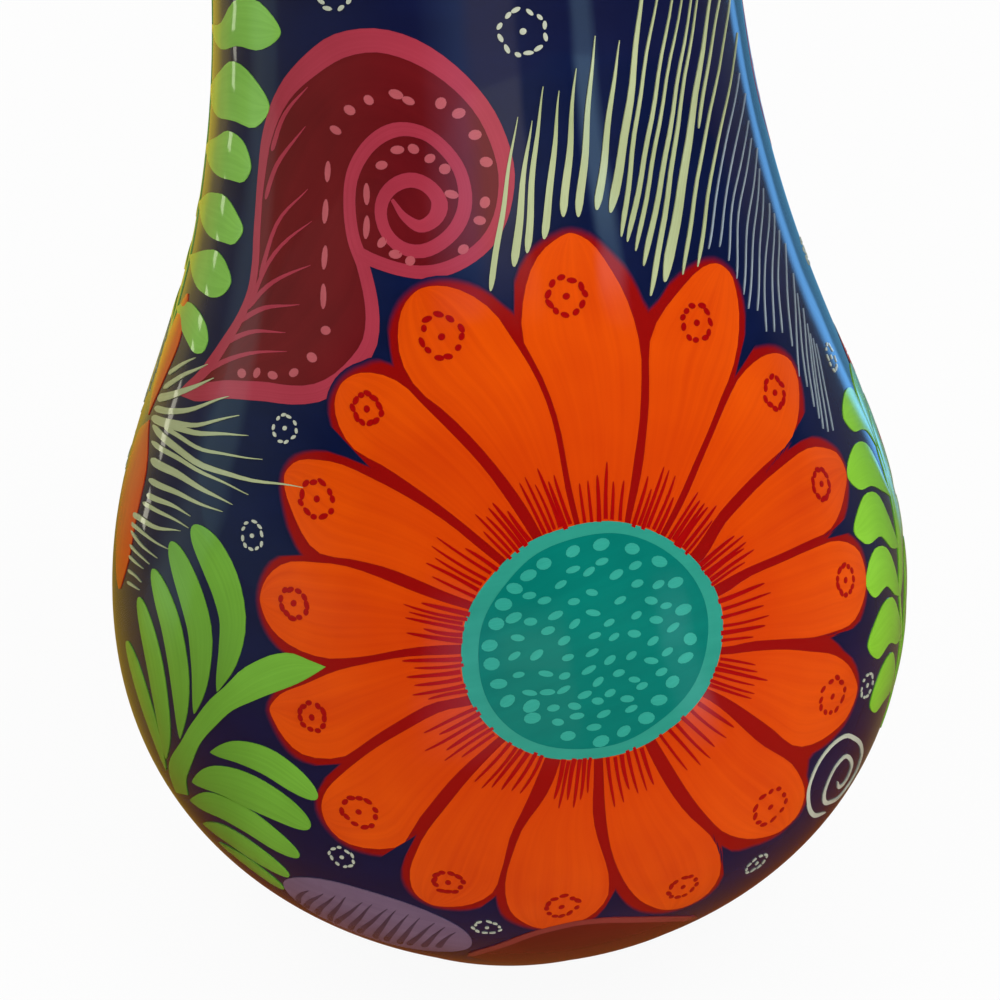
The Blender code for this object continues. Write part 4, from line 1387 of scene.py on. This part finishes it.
# %% Plan of the rays, the fan and the bud
RAYS = (
    ((-11.6, 58.5), (-7.8, 71.1), (-3, 87), 0.6), ((-7, 62), (-4.5, 72.6), (-0.8, 86.2), 0.8),
    ((-4.6, 64.1), (-2.7, 73.3), (1.7, 91.9), 0.7), ((-1.6, 66.3), (1.1, 76.2), (4.2, 91), 0.75),
    ((2.2, 69.7), (4.8, 81.1), (7.1, 94.4), 0.8), ((4.8, 69.4), (7.8, 82.7), (10.6, 99.9), 0.8),
    ((8.2, 70.4), (11, 80.9), (14.9, 99.1), 0.8), ((10.6, 69.9), (15.3, 84.9), (20.2, 114.5), 0.95),
    ((12.1, 65.7), (16, 80.6), (24.1, 114.5), 0.5), ((13.1, 64.8), (18.6, 80.6), (27.6, 114.6), 0.55),
    ((14.5, 63.2), (19.8, 78.9), (30.2, 114.5), 0.45), ((15.7, 60.6), (22.3, 79), (32.6, 114.5), 0.6),
    ((16.5, 55.3), (24, 79), (34.3, 114.4), 0.6), ((19.6, 57.8), (25.8, 75.6), (38.5, 114.5), 1.2),
    ((30.6, 84), (34.9, 96.1), (43, 114.2), 0.4), ((23.6, 59), (28.6, 73.9), (47.5, 113.3), 0.45),
    ((27.1, 60.2), (32.6, 75.5), (47.1, 100.7), 0.4), ((30, 63.2), (36.5, 78.8), (46.2, 93.6), 0.26),
    ((32.8, 63.6), (38.6, 77), (48.2, 90.1), 0.24), ((34.8, 61.1), (38, 70.9), (48.1, 85.3), 0.22),
    ((36.5, 57.9), (39.5, 69.1), (48.4, 82.2), 0.22), ((38, 55), (42, 67.3), (50.8, 80.5), 0.22),
    ((39, 52.4), (43.6, 65.4), (50.2, 76.9), 0.22), ((41.5, 52), (45, 62.7), (50.5, 73.5), 0.22),
    ((43.5, 48.1), (44.3, 54.8), (52.2, 70.8), 0.22), ((46, 47.9), (47.3, 55.5), (53.8, 69), 0.22),
    ((48.6, 47.5), (49.6, 55.3), (54.7, 66), 0.2), ((51.4, 44.8), (52.2, 51.6), (56.7, 63.6), 0.2),
    ((51.9, 39.3), (54, 47.8), (57.8, 58.2), 0.2), ((54.1, 37.2), (55.3, 45.9), (57.7, 54.5), 0.2),
    ((55.1, 33.4), (56.7, 44), (59.1, 51.7), 0.2), ((56.1, 31.1), (58, 42.1), (59.4, 48.8), 0.2),
    ((56.8, 29.1), (58.8, 41.1), (59.8, 46.9), 0.2), ((58.4, 28.4), (60.1, 40.1), (60.7, 46), 0.2),
    ((60.5, 28.4), (61.5, 39.2), (61.7, 45), 0.2),
)
FINE_RAYS_FROM = 17
FAN, FAR_FAN = (-62.0, 118.0), (-98.0, 118.0)
FAN_STROKES = (
    ((-12.8, 5.5), (-6.6, 8.8), (-1.1, 12.1), 0.5), ((-13.3, 2.4), (-3.9, 7.7), (4, 12.5), 0.6),
    ((-15.1, -0.5), (-2.1, 5.1), (7.1, 10.9), 0.9), ((-15.2, -2.6), (0.1, 1.9), (13, 9.8), 0.7),
    ((-15.4, -4.6), (6.9, 1.8), (17, 8), 0.7), ((-15.4, -4.6), (7.7, 0.4), (20.6, 5.8), 0.8),
    ((-6.2, -3.6), (10.7, -1.7), (25.5, 3.4), 0.45), ((-13.1, -5.5), (12.1, -4.3), (35.9, 2.6), 0.8),
    ((-10.9, -8.1), (9.3, -5.9), (25, -3.7), 0.55), ((-8.5, -11), (9.1, -8.7), (22.3, -7.2), 0.9),
    ((-6.7, -14.5), (9.1, -11.8), (20.4, -9.5), 0.65), ((-5.6, -17.3), (4.1, -15.3), (12.3, -14.2), 0.6),
    ((-6.5, -19.3), (4.1, -17.5), (12.8, -16.4), 0.45),
    ((-10.7, -22.9), (0.1, -21.4), (10.6, -18.1), 0.6), ((-10.9, -24.7), (-0.5, -24), (8, -22.7), 0.4),
    ((-9.9, -26), (-2.3, -26.6), (4.9, -25.9), 0.35), ((-9.1, -28.6), (-3.1, -28.6), (2.2, -28.4), 0.3),
    ((-8.7, -30.7), (-4.1, -30.5), (-0.2, -30.3), 0.3), ((-8.1, -33.4), (-3.7, -32.9), (-0.4, -33), 0.3),
    ((-7.9, -35.8), (-4.2, -35.1), (-0.9, -34.7), 0.3),
)
BUD_PETALS = (
    (
        (-19, -5), (-16.5, 0), (-14, 6), (-11.4, 12), (-13, 21),
        (-19.5, 15), (-23.5, 8), (-23, 1),
    ),
    (
        (-17, -5.5), (-9.6, -13.5), (-8.4, -22), (-9.2, -33), (-14, -39.5),
        (-21, -34), (-26, -22), (-24, -10),
    ),
)

# %% Draw the rays, the fan and the bud
def bud(bm):
    """Draw the two long petals that part at the fan's root."""
    for index, loop in enumerate(BUD_PETALS):
        blade(bm, loop, index)


def flicks(strokes, press):
    """Return a drawing with one flick of the brush for each root, middle, tip and half width."""
    def draw(bm):
        for index, (root, middle, tip, width) in enumerate(strokes):
            path = through(root, middle, tip)
            stroke(bm, path, flick(width * press), rows=22, layer=6, order=index)

    return draw


bold_rays = flicks(RAYS[:FINE_RAYS_FROM], press=0.78)
fine_rays = flicks(RAYS[FINE_RAYS_FROM:], press=0.55)
left_fan = flicks(FAN_STROKES, press=0.9)
CREAM_PAINT = brushed_paint("cream_paint", srgb(150, 160, 114), srgb(184, 192, 148))
PALE_RAY_PAINT = brushed_paint("pale_ray_paint", srgb(132, 146, 156), srgb(156, 168, 176))
paint_piece("cream_strokes", CREAM_PAINT, [
    (FLOWERS[0][0], bold_rays), (FAN, left_fan), (FAR_FAN, mirrored(left_fan)),
])
paint_piece("pale_strokes", PALE_RAY_PAINT, [(FLOWERS[0][0], fine_rays)])
paint_piece("bud_petals", ORANGE_PAINT, [(FAN, bud)])

# %% White rings and the white spiral
BIG_RING, SMALL_RING = 3.8, 2.45
BIG_RINGS = (
    (9.6, 194.7), (-29.6, 201.0), (-8.0, 228.0), (14.0, 246.0), (-34.0, 238.0), (88.0, 228.0),
    (-54.0, 264.0), (-120.0, 226.0), (96.0, 264.0), (-150.0, 252.0), (158.0, 228.0), (-16.0, 270.0),
)
SMALL_RINGS = (
    (-36.7, 125.0), (-39.2, 106.0), (-23.5, 48.6), (-3.7, 33.3), (38.8, 38.3), (57.3, 68.4),
    (73.7, 124.8), (-97.0, 64.0), (-76.0, 40.0), (165.0, 60.0), (-170.0, 96.0), (88.0, 140.0),
)
SPIRAL = (52.6, 52.0)
spiral_path = through(
    (2.2, -11.2), (-3.7, -8.3), (-8.8, -2.4), (-10.6, 2.8), (-9.4, 6.7), (-5.5, 9.1), (-0.6, 9.1),
    (3.5, 6.5), (8.7, 1.6), (11.1, -2.3), (11, -8), (7, -10), (2.5, -8.6), (-1.8, -6), (-3.9, -1.5),
    (-2.6, 2.4), (0.5, 3.6), (4, 1.2), (6.3, -2.5), (5.6, -5.5), (3, -5.2), (0.8, -2.6),
)


def white_spiral(bm):
    """Draw the white spiral."""
    stroke(bm, spiral_path, even(0.45), rows=90, layer=5, columns=2)


def white_ring(radius, dashes, size):
    """Return the drawing of one white ring."""
    return lambda bm: dotted_ring(bm, (0.0, 0.0), radius, dashes, size, layer=5, plump=0.50)


WHITE_PAINT = brushed_paint("white_paint", srgb(162, 168, 148), srgb(198, 202, 184))
white_marks = [(place, white_ring(BIG_RING, dashes=12, size=0.76)) for place in BIG_RINGS]
white_marks += [(place, white_ring(SMALL_RING, dashes=10, size=0.58)) for place in SMALL_RINGS]
white_marks += [(SPIRAL, white_spiral)]
paint_piece("white_marks", WHITE_PAINT, white_marks)

# %% Purple and red leaves round the foot
PURPLE_PLACES = ((-20.0, 30.0), (86.0, 26.0), (150.0, 28.0), (-100.0, 28.0), (-150.0, 28.0))
RED_PLACES = ((12.0, 28.0), (118.0, 28.0), (-178.0, 28.0), (-125.0, 28.0))
PURPLE_MIDDLE, PURPLE_TILT = np.array((-2.4, -0.6)), -11.0
PURPLE_LENGTH, PURPLE_WIDTH = 19.0, 13.0
STRIPES, STRIPE_SPAN, STRIPE_SLANT = 13, 29.0, 62.0
STRIPE_LENGTH, STRIPE_WIDTH = 18.5, 12.6


def purple_leaf(bm):
    """Draw the fat purple leaf."""
    dab(bm, PURPLE_MIDDLE, PURPLE_LENGTH, PURPLE_WIDTH, PURPLE_TILT, layer=5, cells=18)


def purple_stripes(bm):
    """Draw the dark stripes across the purple leaf."""
    for index in range(STRIPES):
        along = -STRIPE_SPAN / 2 + STRIPE_SPAN / (STRIPES - 1) * index
        reach = STRIPE_WIDTH * math.sqrt(1.0 - (along / STRIPE_LENGTH) ** 2)
        middle = PURPLE_MIDDLE + polar(along, PURPLE_TILT)
        slant = STRIPE_SLANT + chance.uniform(-4, 4)
        low, high = middle - polar(reach - 1.2, slant), middle + polar(max(reach - 3.4, 0.8), slant)
        stroke(bm, bow(low, high, 0.6), flick(0.62), rows=14, layer=6, order=index)


red_leaf_top = through(
    (-20, -13), (-18.9, -8.2), (-15.8, -3.1), (-9.6, 4.7), (-6, 6.3), (-2.3, 7.3), (1.6, 7.1),
    (9.8, 3.9), (19.4, -2.8), (24.4, -8.1),
)
red_leaf_low = through((-20, -13), (-12, -20), (2, -23), (15, -18), (24.4, -8.1))


def red_leaf(bm):
    """Draw the dark-red lens of a leaf."""
    ribbon(bm, red_leaf_top, red_leaf_low, rows=36, columns=14, layer=5)


def red_leaf_edge(bm):
    """Draw the paler line along the upper edge of the red leaf."""
    stroke(bm, red_leaf_top, even(0.95), rows=40, layer=6, columns=2)


# %% Paint the leaves of the foot
PURPLE_PAINT = brushed_paint("purple_paint", srgb(100, 79, 104), srgb(125, 103, 128))
PLUM_PAINT = brushed_paint("plum_paint", srgb(60, 44, 66), srgb(74, 58, 80))
FOOT_RED_PAINT = brushed_paint("foot_red_paint", srgb(88, 18, 12), srgb(108, 28, 20))
ROSE_PAINT = brushed_paint("rose_paint", srgb(122, 42, 38), srgb(146, 58, 54))
paint_piece("purple_leaves", PURPLE_PAINT, [(place, purple_leaf) for place in PURPLE_PLACES])
paint_piece("purple_stripes", PLUM_PAINT, [(place, purple_stripes) for place in PURPLE_PLACES])
paint_piece("red_leaves", FOOT_RED_PAINT, [(place, red_leaf) for place in RED_PLACES])
paint_piece("red_leaf_edges", ROSE_PAINT, [(place, red_leaf_edge) for place in RED_PLACES])

# %% [markdown]
# ## Strokes on the handle
#
# The strap is too narrow for flowers. It gets what a painter can do there in one go: a chain of
# cream flicks in pairs, with a dot between each pair. They are drawn flat along the strap's length
# and bent over its oval section.

# %% Cream chain on the strap
strap_runs = np.concatenate([[0.0], np.cumsum(np.linalg.norm(np.diff(strap_path, axis=0), axis=1))])
CHAIN_START, CHAIN_PAIRS = 0.14, 15
PAIR_ROOT, PAIR_TIP = (1.4, 2.0), (7.4, -4.6)


def wrap_strap(flat):
    """Return where flat points (across, along, lift) land on the strap's outer face."""
    across, along, lift = flat.T
    share = np.interp(along, strap_runs, np.linspace(0.0, 1.0, len(strap_runs)))
    swell = strap_swell(share)
    middle = np.stack([np.interp(along, strap_runs, strap_path[:, i]) for i in (0, 1)])
    way = np.stack([np.interp(along, strap_runs, strap_way[:, i]) for i in (0, 1)])
    angle = across / HALF_WIDTH
    out = (HALF_THICKNESS * swell + lift) * np.cos(angle)
    side = (HALF_WIDTH * swell + lift) * np.sin(angle)
    return hand_shaped(side, middle[0] - way[1] * out, middle[1] + way[0] * out)


def chain(bm):
    """Draw pairs of flicks and dots down the strap."""
    length = strap_runs[-1]
    for index in range(CHAIN_PAIRS):
        along = length * (CHAIN_START + (1.0 - 2 * CHAIN_START) * index / (CHAIN_PAIRS - 1))
        for sign in (-1.0, 1.0):
            start, end = [(sign * across, along + up) for across, up in (PAIR_ROOT, PAIR_TIP)]
            path = bow(start, end, -sign * 1.1)
            stroke(bm, path, flick(1.0), rows=12, layer=1, order=index, columns=2)
        dab(bm, (0.0, along - 3.0), 1.1, 1.0, 90.0, layer=1, order=index)


paint_piece("handle_chain", CREAM_PAINT, [(None, chain)])
